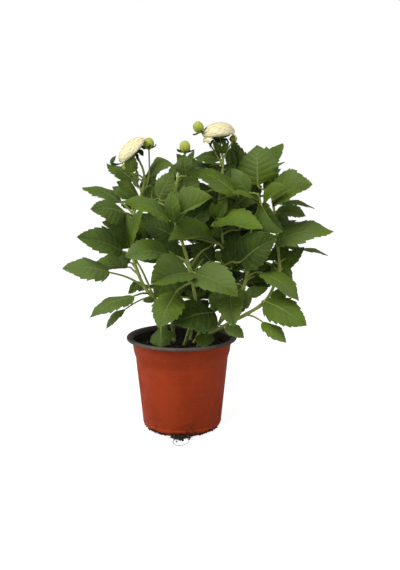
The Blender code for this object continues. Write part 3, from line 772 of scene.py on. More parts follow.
class Finish:
    """A material in the making: its tree, its shader and short ways to dress them."""

    def __init__(self, name: str, roughness: float, bump: float, reach: float, gloss: float = 0.5) -> None:
        """Start a finish.

        Args:
            name: The material's name.
            roughness: Its roughness where nothing else is linked.
            bump: How strong its relief is.
            reach: How deep its relief is, in mm.
            gloss: How much it mirrors, with 0.5 for plain plastic.
        """
        self.material = bpy.data.materials.new(name)
        self.material.use_nodes = True
        self.tree = ShaderTree(self.material.node_tree)
        self.shader = self.material.node_tree.nodes["Principled BSDF"]
        self.set("Roughness", roughness)
        self.set("Specular IOR Level", gloss)
        self.bump = bump
        self.reach = reach

    def set(self, socket: str, value: object) -> None:
        """Give one of the shader's inputs a value or a link."""
        self.tree.feed(self.shader.inputs[socket], value)

    def relief(self, height: Socket) -> None:
        """Turn a height into the surface's relief."""
        bump = self.tree.node("ShaderNodeBump")
        bump.inputs["Strength"].default_value = self.bump
        bump.inputs["Distance"].default_value = self.reach * MM
        self.tree.feed(bump.inputs["Height"], height)
        self.set("Normal", bump.outputs[0])


@dataclass(frozen=True)
class LeafFinish:
    """One side of a leaf: two greens that tone moves between, its veins' colours, greyer patches of painted sheen and a
    painted highlight along its edge.
    """

    deep: Colour
    fresh: Colour
    vein: Colour
    rib: Colour
    painted_sheen: Colour
    vein_share: float = 0.22
    net_share: float = 0.14
    rib_share: float = 0.6
    painted_sheen_scale: float = 17.0
    painted_sheen_share: float = 0.75
    rim_highlight_share: float = 0.35
    roughness: tuple[float, float] = (0.42, 0.58)
    bump: float = 0.6
    gloss: float = 0.14

    def make(self, name: str, effects: Effects) -> Material:
        """The material."""
        finish = Finish(name, 0.5, self.bump, 0.5, self.gloss)
        tree = finish.tree
        veins = tree.group(effects.veins)
        mottle = tree.group(effects.mottle, Broad_Scale=55.0, Fine_Scale=700.0, Contrast=0.6)
        tone = tree.plus(tree.times(tree.value("tone"), 0.5), 0.5)
        shift = tree.times(tree.maths("SUBTRACT", mottle.outputs["Mask"], 0.5), 0.35)
        green = tree.mix(tree.plus(tone, shift, clamp=True), self.deep, self.fresh)
        # Painted sheen: noise patches where the green turns greyer, more of them on fresher leaves.
        sheen_patches = tree.ramp(tree.noise(tree.place(), self.painted_sheen_scale, 1.0), 0.44, 0.60, (0.0, self.painted_sheen_share))
        green = tree.mix(tree.times(sheen_patches, tone, clamp=True), green, self.painted_sheen)
        green = tree.mix(tree.times(veins.outputs["Net"], self.net_share), green, self.vein)
        green = tree.mix(tree.times(veins.outputs["Vein"], self.vein_share), green, self.vein)
        green = tree.mix(tree.times(veins.outputs["Rib"], self.rib_share), green, self.rib)
        # Painted highlight: a thin band along the leaf's edge is mixed towards the pale vein colour.
        edge = tree.ramp(tree.maths("ABSOLUTE", tree.value("across")), 0.93, 1.0, (0.0, self.rim_highlight_share))
        finish.set("Base Color", tree.mix(edge, green, self.vein))
        finish.set("Roughness", tree.ramp(mottle.outputs["Mask"], 0.0, 1.0, self.roughness))
        finish.relief(tree.plus(veins.outputs["Height"], tree.times(mottle.outputs["Height"], 0.25)))
        return finish.material


@dataclass(frozen=True)
class StalkFinish:
    """Smooth green skin with streaks along it, and soil on it up to heights in metres where it fades out."""

    pale: Colour
    green: Colour
    streak: Colour
    soil: Colour = (0.06, 0.04, 0.02)
    fade: tuple[float, float] = (0.1, 0.15)
    stretch: Point = (1.0, 1.0, 0.08)

    def make(self, name: str, effects: Effects) -> Material:
        """The material."""
        finish = Finish(name, 0.45, 0.25, 0.2, 0.3)
        tree = finish.tree
        streaks = tree.noise(tree.place(self.stretch), 900.0, 3.0)
        mottle = tree.group(effects.mottle, Broad_Scale=35.0, Fine_Scale=900.0, Contrast=0.7)
        colour = tree.mix(mottle.outputs["Mask"], self.pale, self.green)
        colour = tree.mix(tree.ramp(streaks, 0.5, 0.7, (0.0, 0.55)), colour, self.streak)
        grime = tree.group(effects.grime, Scale=220.0, Low=self.fade[0], High=self.fade[1], Amount=1.0)
        finish.set("Base Color", tree.mix(grime.outputs["Mask"], colour, self.soil))
        finish.set("Roughness", tree.ramp(streaks, 0.3, 0.7, (0.38, 0.55)))
        finish.relief(tree.plus(streaks, tree.times(mottle.outputs["Height"], 0.3)))
        return finish.material


@dataclass(frozen=True)
class PetalFinish:
    """Waxy petals: one colour at the tip and another at the foot, with fine lines along them."""

    foot: Colour
    tip: Colour
    line: Colour
    roughness: float = 0.5

    def make(self, name: str, effects: Effects) -> Material:
        """The material."""
        finish = Finish(name, self.roughness, 0.35, 0.15, 0.25)
        tree = finish.tree
        along = tree.value("along")
        mottle = tree.group(effects.mottle, Broad_Scale=150.0, Fine_Scale=1500.0, Contrast=0.4)
        spread = tree.times(tree.maths("SUBTRACT", mottle.outputs["Mask"], 0.5), 0.3)
        colour = tree.mix(tree.ramp(tree.plus(along, spread), 0.1, 0.75), self.foot, self.tip)
        wave = tree.maths("SINE", tree.times(tree.value("across"), 22.0))
        lines = tree.ramp(wave, 0.55, 1.0, (0.0, 0.3))
        finish.set("Base Color", tree.mix(lines, colour, self.line))
        finish.relief(tree.plus(tree.times(wave, 0.4), mottle.outputs["Height"]))
        return finish.material


@dataclass(frozen=True)
class ClayFinish:
    """The pot's thin plastic: clay red with faint rings, scuffs, damp patches and dark brown specks that thicken
    towards the foot.
    """

    clay: Colour
    deep: Colour
    dust: Colour
    soil: Colour
    fade: tuple[float, float] = (0.002, 0.03)

    def make(self, name: str, effects: Effects) -> Material:
        """The material."""
        finish = Finish(name, 0.5, 0.25, 0.25, 0.18)
        tree = finish.tree
        broad = tree.group(effects.mottle, Broad_Scale=22.0, Fine_Scale=160.0, Contrast=0.9)
        rings = tree.noise(tree.place((0.02, 0.02, 1.0)), 1600.0, 2.0)
        flow = tree.noise(tree.place((1.0, 1.0, 0.12)), 60.0, 3.0)
        colour = tree.mix(tree.ramp(broad.outputs["Mask"], 0.25, 0.95, (0.0, 0.55)), self.clay, self.deep)
        colour = tree.mix(tree.ramp(flow, 0.52, 0.7, (0.0, 0.35)), colour, self.deep)
        colour = tree.mix(tree.ramp(rings, 0.45, 0.75, (0.0, 0.12)), colour, self.dust)
        scuffs = tree.noise(tree.place((1.0, 1.0, 0.35)), 210.0, 6.0, 0.7)
        colour = tree.mix(tree.ramp(scuffs, 0.60, 0.78, (0.0, 0.35)), colour, self.dust)
        # Dark brown specks that thicken towards the foot and fade out a few cm up.
        grime = tree.group(effects.grime, Scale=120.0, Low=self.fade[0], High=self.fade[1], Amount=1.0)
        finish.set("Base Color", tree.mix(grime.outputs["Mask"], colour, self.soil))
        finish.set("Roughness", tree.ramp(broad.outputs["Mask"], 0.0, 1.0, (0.42, 0.6)))
        finish.relief(tree.plus(tree.times(rings, 0.5), tree.times(scuffs, 0.3)))
        return finish.material


@dataclass(frozen=True)
class EarthFinish:
    """A crumbly or fibrous matter in two browns."""

    dark: Colour
    light: Colour
    scale: float = 300.0
    roughness: float = 0.95
    bump: float = 0.8

    def make(self, name: str, effects: Effects) -> Material:
        """The material."""
        finish = Finish(name, self.roughness, self.bump, 0.8)
        tree = finish.tree
        mottle = tree.group(effects.mottle, Broad_Scale=self.scale * 0.3, Fine_Scale=self.scale * 3.0, Contrast=0.9)
        grains = tree.cells(tree.place(), self.scale * 2.0, "F1")
        colour = tree.mix(mottle.outputs["Mask"], self.dark, self.light)
        colour = tree.mix(tree.ramp(grains, 0.2, 0.6, (0.0, 0.4)), colour, self.dark)
        finish.set("Base Color", colour)
        finish.relief(tree.plus(grains, mottle.outputs["Height"]))
        return finish.material


@dataclass(frozen=True)
class Palette:
    """Every finish of the plant and its pot."""

    leaf_upper: Material
    leaf_under: Material
    bract: Material
    stalk: Material
    petal: Material
    petal_under: Material
    bud_skin: Material
    pot_clay: Material
    pot_dark: Material
    pot_inner: Material
    soil: Material
    perlite: Material
    root: Material
    twig: Material

    @classmethod
    def make(cls) -> "Palette":
        """Mix every finish."""
        effects = Effects.make()
        recipes = {
            "leaf_upper": LeafFinish(deep=(0.026, 0.052, 0.006), fresh=(0.135, 0.215, 0.018), vein=(0.18, 0.25, 0.05),
                                     rib=(0.26, 0.33, 0.1), painted_sheen=(0.125, 0.18, 0.06)),
            "leaf_under": LeafFinish(deep=(0.07, 0.11, 0.028), fresh=(0.13, 0.185, 0.05), vein=(0.2, 0.26, 0.09),
                                     rib=(0.25, 0.31, 0.12), painted_sheen=(0.13, 0.18, 0.07), roughness=(0.6, 0.75)),
            "bract": LeafFinish(deep=(0.018, 0.036, 0.008), fresh=(0.06, 0.1, 0.018), vein=(0.08, 0.12, 0.03),
                                rib=(0.09, 0.13, 0.035), painted_sheen=(0.06, 0.09, 0.025), vein_share=0.2),
            "stalk": StalkFinish(pale=(0.36, 0.42, 0.1), green=(0.21, 0.29, 0.042), streak=(0.43, 0.46, 0.17)),
            "petal": PetalFinish(foot=(0.78, 0.74, 0.24), tip=(0.9, 0.82, 0.49), line=(0.92, 0.86, 0.6)),
            "petal_under": PetalFinish(foot=(0.48, 0.52, 0.12), tip=(0.8, 0.74, 0.4), line=(0.64, 0.61, 0.3)),
            "bud_skin": PetalFinish(foot=(0.32, 0.41, 0.05), tip=(0.47, 0.52, 0.08), line=(0.26, 0.35, 0.045),
                                    roughness=0.35),
            "pot_clay": ClayFinish(clay=(0.39, 0.043, 0.006), deep=(0.305, 0.031, 0.003), dust=(0.42, 0.12, 0.05),
                                   soil=(0.03, 0.02, 0.012)),
            "pot_dark": EarthFinish((0.07, 0.054, 0.04), (0.14, 0.112, 0.086), 120.0, 0.7, 0.15),
            "pot_inner": EarthFinish((0.014, 0.01, 0.007), (0.034, 0.024, 0.016), 160.0, 0.85, 0.3),
            "soil": EarthFinish((0.006, 0.004, 0.003), (0.03, 0.019, 0.011)),
            "perlite": EarthFinish((0.4, 0.33, 0.23), (0.62, 0.56, 0.44), 500.0),
            "root": EarthFinish((0.2, 0.16, 0.1), (0.48, 0.43, 0.33), 400.0, 0.7, 0.4),
            "twig": EarthFinish((0.08, 0.06, 0.04), (0.22, 0.19, 0.15), 350.0, 0.8, 0.5),
        }
        return cls(**{name: recipe.make(name, effects) for name, recipe in recipes.items()})


# ---- Pot ----


def polar(radius: float, turn: float) -> tuple[float, float]:
    """The point at that distance from the Z axis and that angle round it, as (x, y)."""
    return radius * math.cos(turn), radius * math.sin(turn)


def spun(profile: Profile, steps: int) -> Array:
    """The rings of points that a profile makes when it turns round the Z axis in so many steps."""
    turns = np.linspace(0.0, 2 * math.pi, steps, endpoint=False)
    return np.array([[(*polar(radius, turn), z) for turn in turns] for radius, z in profile])


@dataclass(frozen=True)
class Pot:
    """The thermoformed nursery pot: clay red outside, with a dark rolled rim and a dark inside."""

    rim_radius: float = 65.0
    height: float = 110.0
    lip_depth: float = 3.4
    collar_radius: float = 58.7
    step_height: float = 84.0
    body_top_radius: float = 54.6
    body_foot_radius: float = 46.9
    foot_radius: float = 42.5
    foot_height: float = 6.0
    wall: float = 1.2
    steps: int = 160
    drain_count: int = 8
    drain_radius: float = 4.0
    drain_depth: float = 8.0
    drain_height: float = 2.5
    drain_slope: float = -0.75
    weld_gap: float = 0.005
    rings: tuple[tuple[float, float], ...] = ((81.0, 0.1), (8.6, 0.35))

    def outside(self) -> Profile:
        """The clay side from under the rim down to the foot, as (radius, height)."""
        body, collar, base, foot = self.body_top_radius, self.collar_radius, self.body_foot_radius, self.foot_radius
        lip, step, low = self.height - self.lip_depth, self.step_height, self.foot_height
        slope = (body - base) / (step - 1.0 - low)
        side = [
            (collar + 0.8, lip - 0.6), (collar + 0.2, lip - 1.3), (collar, lip - 2.4),
            (collar - 0.9, self.height - 12.0), (collar - 1.4, step + 9.5), (body + 1.9, step + 6.5),
            (body + 1.0, step + 3.4), (body + 0.3, step + 1.2), (body + 0.05, step + 0.4), (body, step - 1.0),
        ]
        for height, depth in self.rings:
            radius = base + slope * (height - low)
            side += [(radius, height + 1.0), (radius - depth, height + 0.3), (radius - depth, height - 0.3),
                     (radius, height - 1.0)]
        side.sort(key=lambda spot: -spot[1])
        return side + [
            (base, low), (base - 0.5, low - 1.4), (base - 1.5, low - 2.5), (base - 2.0, low - 3.2),
            (foot + 0.5, 0.5), (foot, 0.0), (foot - 3.0, 0.0), (foot - 4.0, 0.8), (12.0, 0.8), (0.01, 0.8),
        ]

    def rim(self) -> Profile:
        """The dark rolled rim, from inside the collar over the top to its outer lower edge."""
        lip, collar, top = self.rim_radius, self.collar_radius, self.height
        under = top - self.lip_depth
        return [
            (collar - self.wall, top - 5.0), (collar - 0.6, top - 2.2), (collar + 0.6, top - 1.0),
            (collar + 2.6, top - 0.3), (lip - 2.0, top), (lip - 0.7, top - 0.15), (lip, top - 0.8),
            (lip + 0.3, top - self.lip_depth / 2), (lip + 0.05, under + 0.5), (lip - 0.5, under),
            (lip - 1.4, under + 0.2), (lip - 2.2, under + 0.9), (collar + 2.0, under + 0.6),
            (collar + 0.8, under - 0.6),
        ]

    def inside(self) -> Profile:
        """The dark inner side from the floor's centre up to the rim, as (radius, height)."""
        outer = (self.body_top_radius, self.collar_radius, self.body_foot_radius)
        body, collar, base = (radius - self.wall for radius in outer)
        return [
            (0.01, self.wall + 0.8), (self.foot_radius - 3.0, self.wall + 0.8), (base - 1.6, 4.6), (base, 7.0),
            (body, self.step_height - 0.6), (body + 1.4, self.step_height + 3.0), (collar, self.height - 5.0),
        ]

    def drain_turn(self, index: int) -> float:
        """The angle of a drain hole: the first is at the front."""
        return 2 * math.pi * index / self.drain_count - math.pi / 2

    def build(self, palette: Palette) -> Object:
        """The pot with its drain holes cut."""
        draft = MeshDraft()
        inner, rim, outer = (draft.add_points(spun(profile, self.steps))
                             for profile in (self.inside(), self.rim(), self.outside()))
        for finish, grid in ((2, inner), (1, rim), (0, outer)):
            draft.add_skin(grid[::-1], finish, closed=True)
        draft.add_faces(inner[:1], 2)
        draft.add_faces(outer[-1:, ::-1], 0)
        pot = draft.build("nursery_pot", [palette.pot_clay, palette.pot_dark, palette.pot_inner], crease=62.0)
        self.weld(pot)
        self.cut_drains(pot)
        return settle(pot, Slot.POT, "pot")

    def weld(self, pot: Object) -> None:
        """Join the rim to the two sides where their edges meet."""
        bm = bmesh.new()
        bm.from_mesh(pot.data)
        bmesh.ops.remove_doubles(bm, verts=bm.verts, dist=self.weld_gap * MM)
        bmesh.ops.recalc_face_normals(bm, faces=bm.faces)
        bm.to_mesh(pot.data)
        bm.free()

    def cut_drains(self, pot: Object) -> None:
        """Cut the row of drain holes round the foot."""
        for index in range(self.drain_count):
            turn = self.drain_turn(index)
            outward = Vector((*polar(1.0, turn), self.drain_slope))
            mesh = bpy.data.meshes.new(f"drain_cutter_{index}")
            bm = bmesh.new()
            bmesh.ops.create_cone(bm, cap_ends=True, segments=24, radius1=self.drain_radius * MM,
                                  radius2=self.drain_radius * MM, depth=self.drain_depth * MM)
            bm.to_mesh(mesh)
            bm.free()
            cutter = add_object(mesh.name, mesh)
            cutter.location = Vector((*polar(self.foot_radius + 1.5, turn), self.drain_height)) * MM
            cutter.rotation_mode = "QUATERNION"
            cutter.rotation_quaternion = outward.to_track_quat("Z", "Y")
            modifier = pot.modifiers.new("drain", "BOOLEAN")
            modifier.operation = "DIFFERENCE"
            modifier.object = cutter
        apply_modifiers(pot)
        for obj in [obj for obj in bpy.data.objects if obj.name.startswith("drain_cutter_")]:
            bpy.data.objects.remove(obj, do_unlink=True)


def apply_modifiers(obj: Object) -> None:
    """Bake an object's modifiers into its mesh."""
    graph = bpy.context.evaluated_depsgraph_get()
    mesh = bpy.data.meshes.new_from_object(obj.evaluated_get(graph))
    obj.modifiers.clear()
    obj.data = mesh


# ---- Soil and roots ----


@dataclass(frozen=True)
class Soil:
    """The root ball with its uneven top, loose crumbs, perlite, fibres and a twig."""

    top: float = 98.0
    crown: float = 1.5
    edge_radius: float = 53.8
    foot_radius: float = 42.4
    foot_height: float = 4.6
    relief: float = 1.5
    grain: float = 0.32
    edge_drop: float = 2.2
    rings: int = 34
    steps: int = 120
    crumbs: int = 420
    crumb_radius: tuple[float, float] = (0.6, 2.3)
    perlite: int = 13
    perlite_radius: tuple[float, float] = (0.6, 1.5)
    fibres: int = 26
    fibre_reach: float = 46.0
    fibre_length: tuple[float, float] = (5.0, 14.0)
    fibre_radius: tuple[float, float] = (0.14, 0.32)
    twig: tuple[Point, ...] = ((33, -21, 100.8), (37.5, -24.5, 100.0), (42, -27.5, 99.8), (46, -31, 99.2))
    seed: int = 11

    def surface(self, x: float, y: float) -> float:
        """The height of the soil's top at a point."""
        reach = math.hypot(x, y) / self.edge_radius
        lumps = 0.0
        for index, (wave, size) in enumerate(((0.11, 0.5), (0.23, 0.3), (0.52, 0.2))):
            lumps += size * math.sin(wave * x + 1.7 * index) * math.cos(wave * y - 0.9 * index)
        drop = self.edge_drop * max(0.0, reach - 0.88) / 0.12
        return self.top + self.crown * (1 - reach ** 2) + self.relief * lumps - drop

    def build(self, palette: Palette) -> list[Object]:
        """The soil and what lies on it."""
        rng = random.Random(self.seed)
        return [
            settle(self.ball(palette), Slot.SOIL, "soil"),
            settle(self.scatter("soil_crumbs", self.crumbs, self.crumb_radius, palette.soil, rng), Slot.SOIL),
            settle(self.scatter("soil_perlite", self.perlite, self.perlite_radius, palette.perlite, rng), Slot.SOIL),
            settle(self.litter(palette, rng), Slot.SOIL),
        ]

    def ball(self, palette: Palette) -> Object:
        """The whole root ball as one closed body."""
        draft = MeshDraft()
        rng = np.random.default_rng(self.seed)
        radii = [self.edge_radius * (ring + 0.02) / (self.rings - 1 + 0.02) for ring in range(self.rings)]
        top = spun([(radius, 0.0) for radius in radii], self.steps)
        top[..., 2] = [[self.surface(x, y) for x, y, _ in ring] for ring in top]
        top[1:-1, :, 2] += rng.normal(0.0, self.grain, (self.rings - 2, self.steps))
        side = [(self.edge_radius - 1.8, 82.0), (44.0, 8.0), (self.foot_radius - 0.5, self.foot_height + 0.4),
                (39.0, 2.6), (0.02, 2.6)]
        draft.add_closed(draft.add_points(np.concatenate([top, spun(side, self.steps)])), 0)
        return draft.build("soil_ball", [palette.soil], crease=80.0)

    def scatter(self, name: str, count: int, sizes: tuple[float, float], material: Material,
                rng: random.Random) -> Object:
        """Small rough lumps strewn over the soil's top."""
        draft = MeshDraft()
        for _ in range(count):
            radius = (self.edge_radius - 2.5) * math.sqrt(rng.random())
            turn = rng.uniform(0.0, 2 * math.pi)
            x, y = polar(radius, turn)
            size = rng.uniform(*sizes) * rng.uniform(0.6, 1.0)
            add_lump(draft, (x, y, self.surface(x, y) + 0.25 * size), size, rng)
        return draft.build(name, [material], crease=75.0)

    def litter(self, palette: Palette, rng: random.Random) -> Object:
        """Fibres and a dry twig on the soil."""
        draft = MeshDraft()
        for _ in range(self.fibres):
            radius, turn = self.fibre_reach * math.sqrt(rng.random()), rng.uniform(0.0, 2 * math.pi)
            x, y = polar(radius, turn)
            heading, bend, length = rng.uniform(0, 2 * math.pi), rng.uniform(-0.5, 0.5), rng.uniform(*self.fibre_length)
            route = []
            for step in range(6):
                route.append((x, y, self.surface(x, y) + 0.7 + 0.5 * math.sin(step)))
                x += length / 6 * math.cos(heading + bend * step)
                y += length / 6 * math.sin(heading + bend * step)
            line = smooth_route(tuple(route), 1.2)
            draft.add_tube(line, np.full(len(line), rng.uniform(*self.fibre_radius)), 6, 0)
        twig = smooth_route(self.twig, 1.5)
        draft.add_tube(twig, np.linspace(0.8, 0.45, len(twig)), 8, 0)
        return draft.build("soil_litter", [palette.twig])


def add_lump(draft: MeshDraft, middle: Point, size: float, rng: random.Random) -> None:
    """Add a rough lump in the first finish.

    Args:
        draft: The mesh to add it to.
        middle: Its middle.
        size: Its radius.
        rng: The source of its shape.
    """
    rings, steps = 5, 7
    squash = [rng.uniform(0.6, 1.2) for _ in range(3)]
    points = []
    for ring in range(rings):
        tilt = math.pi * (ring + 0.35) / (rings - 0.3)
        row = []
        for step in range(steps):
            turn = 2 * math.pi * step / steps
            reach = size * rng.uniform(0.75, 1.15)
            row.append((middle[0] + squash[0] * reach * math.sin(tilt) * math.cos(turn),
                        middle[1] + squash[1] * reach * math.sin(tilt) * math.sin(turn),
                        middle[2] + squash[2] * reach * math.cos(tilt) * 0.8))
        points.append(row)
    draft.add_closed(draft.add_points(np.array(points)), 0)


@dataclass(frozen=True)
class DrainRoots:
    """Roots that have grown out of the front drain hole and lie in front of the pot, with the soil that fell.

    The hole and the wall are where they are on the Y axis, and a crumb rests at that share of its radius.
    """

    radius: float = 0.55
    strands: int = 9
    crumbs: int = 210
    caked: tuple[Point, ...] = ((-43.8, -12.0, 4.4), (-38.5, -24.0, 3.6), (-31.5, -32.5, 2.6), (-22.0, -39.0, 1.8),
                                (13.0, -43.0, 1.6), (23.5, -38.5, 2.2), (33.0, -30.5, 2.6), (40.0, -21.0, 3.6))
    caked_crumbs: int = 20
    hole: float = -42.0
    wall: float = -43.0
    resting: float = 1.15
    seed: int = 5

    def build(self, palette: Palette) -> list[Object]:
        """The roots and the crumbs."""
        rng = random.Random(self.seed)
        draft = MeshDraft()
        line = smooth_route(ROOT_ROUTE, 1.5)
        draft.add_tube(line, np.linspace(self.radius, 0.35, len(line)), 8, 0)
        for _ in range(self.strands):
            x = rng.uniform(-9.0, 8.0)
            route = [(x, self.hole, rng.uniform(1.0, 3.5))]
            heading = -math.pi / 2 + rng.uniform(-0.7, 0.7)
            bend = rng.choice((-1, 1)) * rng.uniform(0.2, 0.55)
            y, step_length = self.wall, rng.uniform(1.8, 3.0)
            for step in range(rng.randint(5, 8)):
                heading += bend
                x += step_length * math.cos(heading)
                y = min(y + step_length * math.sin(heading), self.wall)
                route.append((x, y, max(0.5, 1.6 - 0.5 * step + rng.uniform(0, 1.0))))
            line = smooth_route(tuple(route), 1.2)
            draft.add_tube(line, np.linspace(rng.uniform(0.25, 0.4), 0.14, len(line)), 6, 0)
        roots = settle(draft.build("drain_root_strands", [palette.root]), Slot.ROOT, "drain_root")
        crumbs = MeshDraft()
        for _ in range(self.crumbs):
            x, y = rng.gauss(-2.0, 4.6), self.hole - abs(rng.gauss(0.0, 6.5))
            size = rng.uniform(0.5, 1.8)
            add_lump(crumbs, (x, y, self.resting * size + rng.uniform(0.0, 2.6) * (y > -46)), size, rng)
        for x, y, z in self.caked:
            for _ in range(self.caked_crumbs):
                size = rng.uniform(0.4, 1.3)
                slide = rng.gauss(0.0, 3.2)
                away = math.hypot(x, y)
                spot = (x - slide * y / away, y + slide * x / away, max(self.resting * size, z + rng.gauss(0.0, 0.8)))
                add_lump(crumbs, spot, size, rng)
        return [roots, settle(crumbs.build("drain_crumbs", [palette.soil], crease=75.0), Slot.SOIL)]


# ---- Stems ----


@dataclass(frozen=True)
class StemMaker:
    """Round green stems that thin upwards and swell at each node."""

    foot_radius: float = 2.3
    top_radius: float = 1.2
    branch_radius: float = 0.9
    spacing: float = 2.5
    sides: int = 12
    node_swell: float = 0.22
    node_reach: float = 2.6

    def middle_line(self, stem: Stem) -> Array:
        """The stem's middle line from its foot to its top."""
        return smooth_route(stem.route, self.spacing)

    def radii(self, line: Array, nodes: list[float]) -> Array:
        """The radius at each point of a middle line, with a swelling at each node's height."""
        radii = np.linspace(self.foot_radius, self.top_radius, len(line))
        for height in nodes:
            radii *= 1 + self.node_swell * np.exp(-((line[:, 2] - height) / self.node_reach) ** 2)
        return radii

    def build(self, name: str, stem: Stem, nodes: list[float], palette: Palette) -> Object:
        """The stem with its branches."""
        draft = MeshDraft()
        line = self.middle_line(stem)
        draft.add_tube(line, self.radii(line, nodes), self.sides, 0)
        for branch in stem.branches:
            path = smooth_route(branch, self.spacing)
            draft.add_tube(path, np.linspace(1.15, 0.95, len(path)) * self.branch_radius, self.sides, 0)
        return settle(draft.build(f"{name}_stalk", [palette.stalk]), Slot.STEM, f"{name}_stem")

    @staticmethod
    def joint(line: Array, height: float) -> Array:
        """The point of a middle line at a height."""
        index = int(np.argmax(line[:, 2] >= height))
        low, high = line[max(index - 1, 0)], line[index]
        share = (height - low[2]) / max(high[2] - low[2], 1e-6)
        return low + (high - low) * float(np.clip(share, 0.0, 1.0))


# ---- Leaves ----


@dataclass(frozen=True)
class LeafMaker:
    """A toothed, veined dahlia leaf on its stalk, with side veins that a leaf has more of if it is wider."""

    rise: float = 0.68
    fall: float = 0.92
    sweep: float = 1.9
    tooth: float = 0.14
    tooth_forward: float = 0.35
    camber: float = 0.22
    lift: float = 0.06
    thickness: float = 0.42
    pucker: float = 0.45
    wave: float = 0.055
    stalk_radius: float = 1.3
    edge_half_width: float = 0.35
    vein_counts: tuple[tuple[float, int], ...] = ((34, 9), (24, 8), (0, 6))
    stalk_profile: tuple[float, ...] = (1.55, 1.05, 0.8)
    rib_rows: tuple[int, ...] = (3, 8, 15, 24, 35, 48, 62, 78)
    blade_rows: int = 97
    row_steps: tuple[float, ...] = (0.14, 0.42, 0.70, 0.88, 1.0)
    columns: tuple[float, ...] = (0.0, 0.12, 0.3, 0.5, 0.7, 0.87, 1.0)

    def outline(self, share: Array) -> Array:
        """Half the width at a share of the blade's length, 1 at the widest."""
        widest = self.rise / (self.rise + self.fall)
        share = np.clip(share, 0.0, 1.0)
        return (share / widest) ** self.rise * ((1 - share) / (1 - widest)) ** self.fall

    def rows(self, veins: int) -> tuple[Array, Array]:
        """Where the rows start on the midrib, and how far each is up its tooth."""
        starts, teeth = [0.0], [1.0]
        for vein in range(veins):
            for step in self.row_steps:
                starts.append((vein + step) / veins)
                teeth.append((step - self.row_steps[0]) / (1.0 - self.row_steps[0]))
        return np.array(starts), np.array(teeth)

    def add_leaf(self, draft: MeshDraft, leaf: Leaf, joint: Array, seed: int) -> None:
        """Add one leaf, with its faces in the finishes that Tissue numbers.

        Args:
            draft: The mesh to add it to.
            leaf: Its layout.
            joint: Where its stalk leaves the stem.
            seed: The seed of its own waves and teeth.
        """
        rng = np.random.default_rng(seed)
        base, tip = np.array(leaf.base, float), np.array(leaf.tip, float)
        length = float(np.linalg.norm(tip - base))
        along = (tip - base) / length
        upper = np.array(leaf.faces, float)
        upper = unit(upper - along * upper.dot(along))
        crown = base + (tip - base) * 0.5 + upper * leaf.arch * length
        rise = np.array([0.0, 0.0, self.lift * float(np.linalg.norm(base - joint))])
        line = np.array([joint, (joint + base) / 2 + rise, base, crown, tip])
        shares = np.linspace(0.0, 1.0, self.blade_rows)
        middle = curve_at(line, 2 + 2 * shares)
        run = unit(np.gradient(middle, axis=0))
        side = unit(np.cross(upper, run))
        normal = np.cross(run, side)
        twist = math.radians(rng.uniform(-14, 14)) * (shares - 0.25)
        turned_side = side * np.cos(twist)[:, None] + normal * np.sin(twist)[:, None]
        normal = normal * np.cos(twist)[:, None] - side * np.sin(twist)[:, None]
        frames = np.hstack([middle, turned_side, normal])
        self.add_blade(draft, leaf, frames, rng)
        self.add_stalk(draft, leaf, line, frames)

    def add_blade(self, draft: MeshDraft, leaf: Leaf, frames: Array, rng: np.random.Generator) -> None:
        """Add the blade: rows that sweep forward from the midrib as the side veins do, and end in teeth."""
        veins = next(count for width, count in self.vein_counts if leaf.width > width)
        half = leaf.width / 2
        starts, teeth = self.rows(veins)
        across = np.array([-k for k in reversed(self.columns[1:])] + list(self.columns))
        reach = np.abs(across)
        ends = 1 - (1 - starts) ** self.sweep
        ends = np.clip(ends + self.tooth_forward * teeth / veins * (1 - starts), 0.0, 1.0)
        shares = starts[:, None] + (ends - starts)[:, None] * reach ** 1.2
        uneven = rng.uniform(0.75, 1.2, (len(starts), 2))
        depth = self.tooth * uneven * (1 - teeth)[:, None] * np.clip(ends * 8, 0, 1)[:, None]
        margin = np.maximum(half * self.outline(ends)[:, None] * (1 - depth), self.edge_half_width)
        margin = np.where(across[None, :] < 0, margin[:, :1], margin[:, 1:])
        out = margin * reach
        local = np.maximum(half * self.outline(shares), out + 1e-6)
        bend = out / local
        fold = math.tan(math.radians(leaf.fold + rng.uniform(-3, 3)))
        height = local * (fold * bend + self.camber * (bend - bend ** 2))
        phases = starts * veins
        between = np.sin(math.pi * phases)[:, None] ** 2
        size = half / 20
        height += self.pucker * size * between * np.sin(math.pi * reach ** 0.8)
        beat, shift = rng.uniform(1.6, 2.6), rng.uniform(0, 2 * math.pi, 2)
        shift = np.where(across < 0, shift[0], shift[1])
        height += self.wave * half * bend ** 2 * np.sin(2 * math.pi * beat * shares + shift)
        height += 0.25 * size * np.sin(9 * shares + 5 * across + shift[0]) * bend
        frame = [np.interp(shares, np.linspace(0, 1, len(frames)), frames[:, k]) for k in range(9)]
        middle, side, normal = (np.stack(frame[k:k + 3], axis=-1) for k in (0, 3, 6))
        top = middle + side * (out * np.sign(across))[..., None] + normal * height[..., None]
        on_vein = (teeth == 1.0)[:, None] * (1 - reach) * 0.28
        thick = (self.thickness + on_vein)[..., None]
        draft.add_sheet(top, top - normal * thick, (Tissue.UPPER.value, Tissue.UNDER.value),
                        phase=phases[:, None], across=across[None, :], along=shares,
                        tone=float(np.clip(leaf.tone + rng.uniform(-0.25, 0.25), -1, 1)))

    def add_stalk(self, draft: MeshDraft, leaf: Leaf, line: Array, frames: Array) -> None:
        """Add the stalk, which runs on under the blade as its midrib."""
        stalk = curve_at(line, np.linspace(0.0, 2.0, 15))
        size = min(1.0, 0.55 + leaf.width / 70)
        radii = np.interp(np.linspace(0, 1, 15), [0, 0.12, 1], self.stalk_profile) * self.stalk_radius * size
        rows = list(self.rib_rows)
        ribs = np.interp(rows, [0, self.blade_rows - 1], [0.78, 0.12]) * self.stalk_radius * size
        under = frames[rows, :3] - frames[rows, 6:] * (ribs * 0.62 + 0.25)[:, None]
        draft.add_tube(np.vstack([stalk, under]), np.concatenate([radii, ribs]), 8, Tissue.STALK.value)


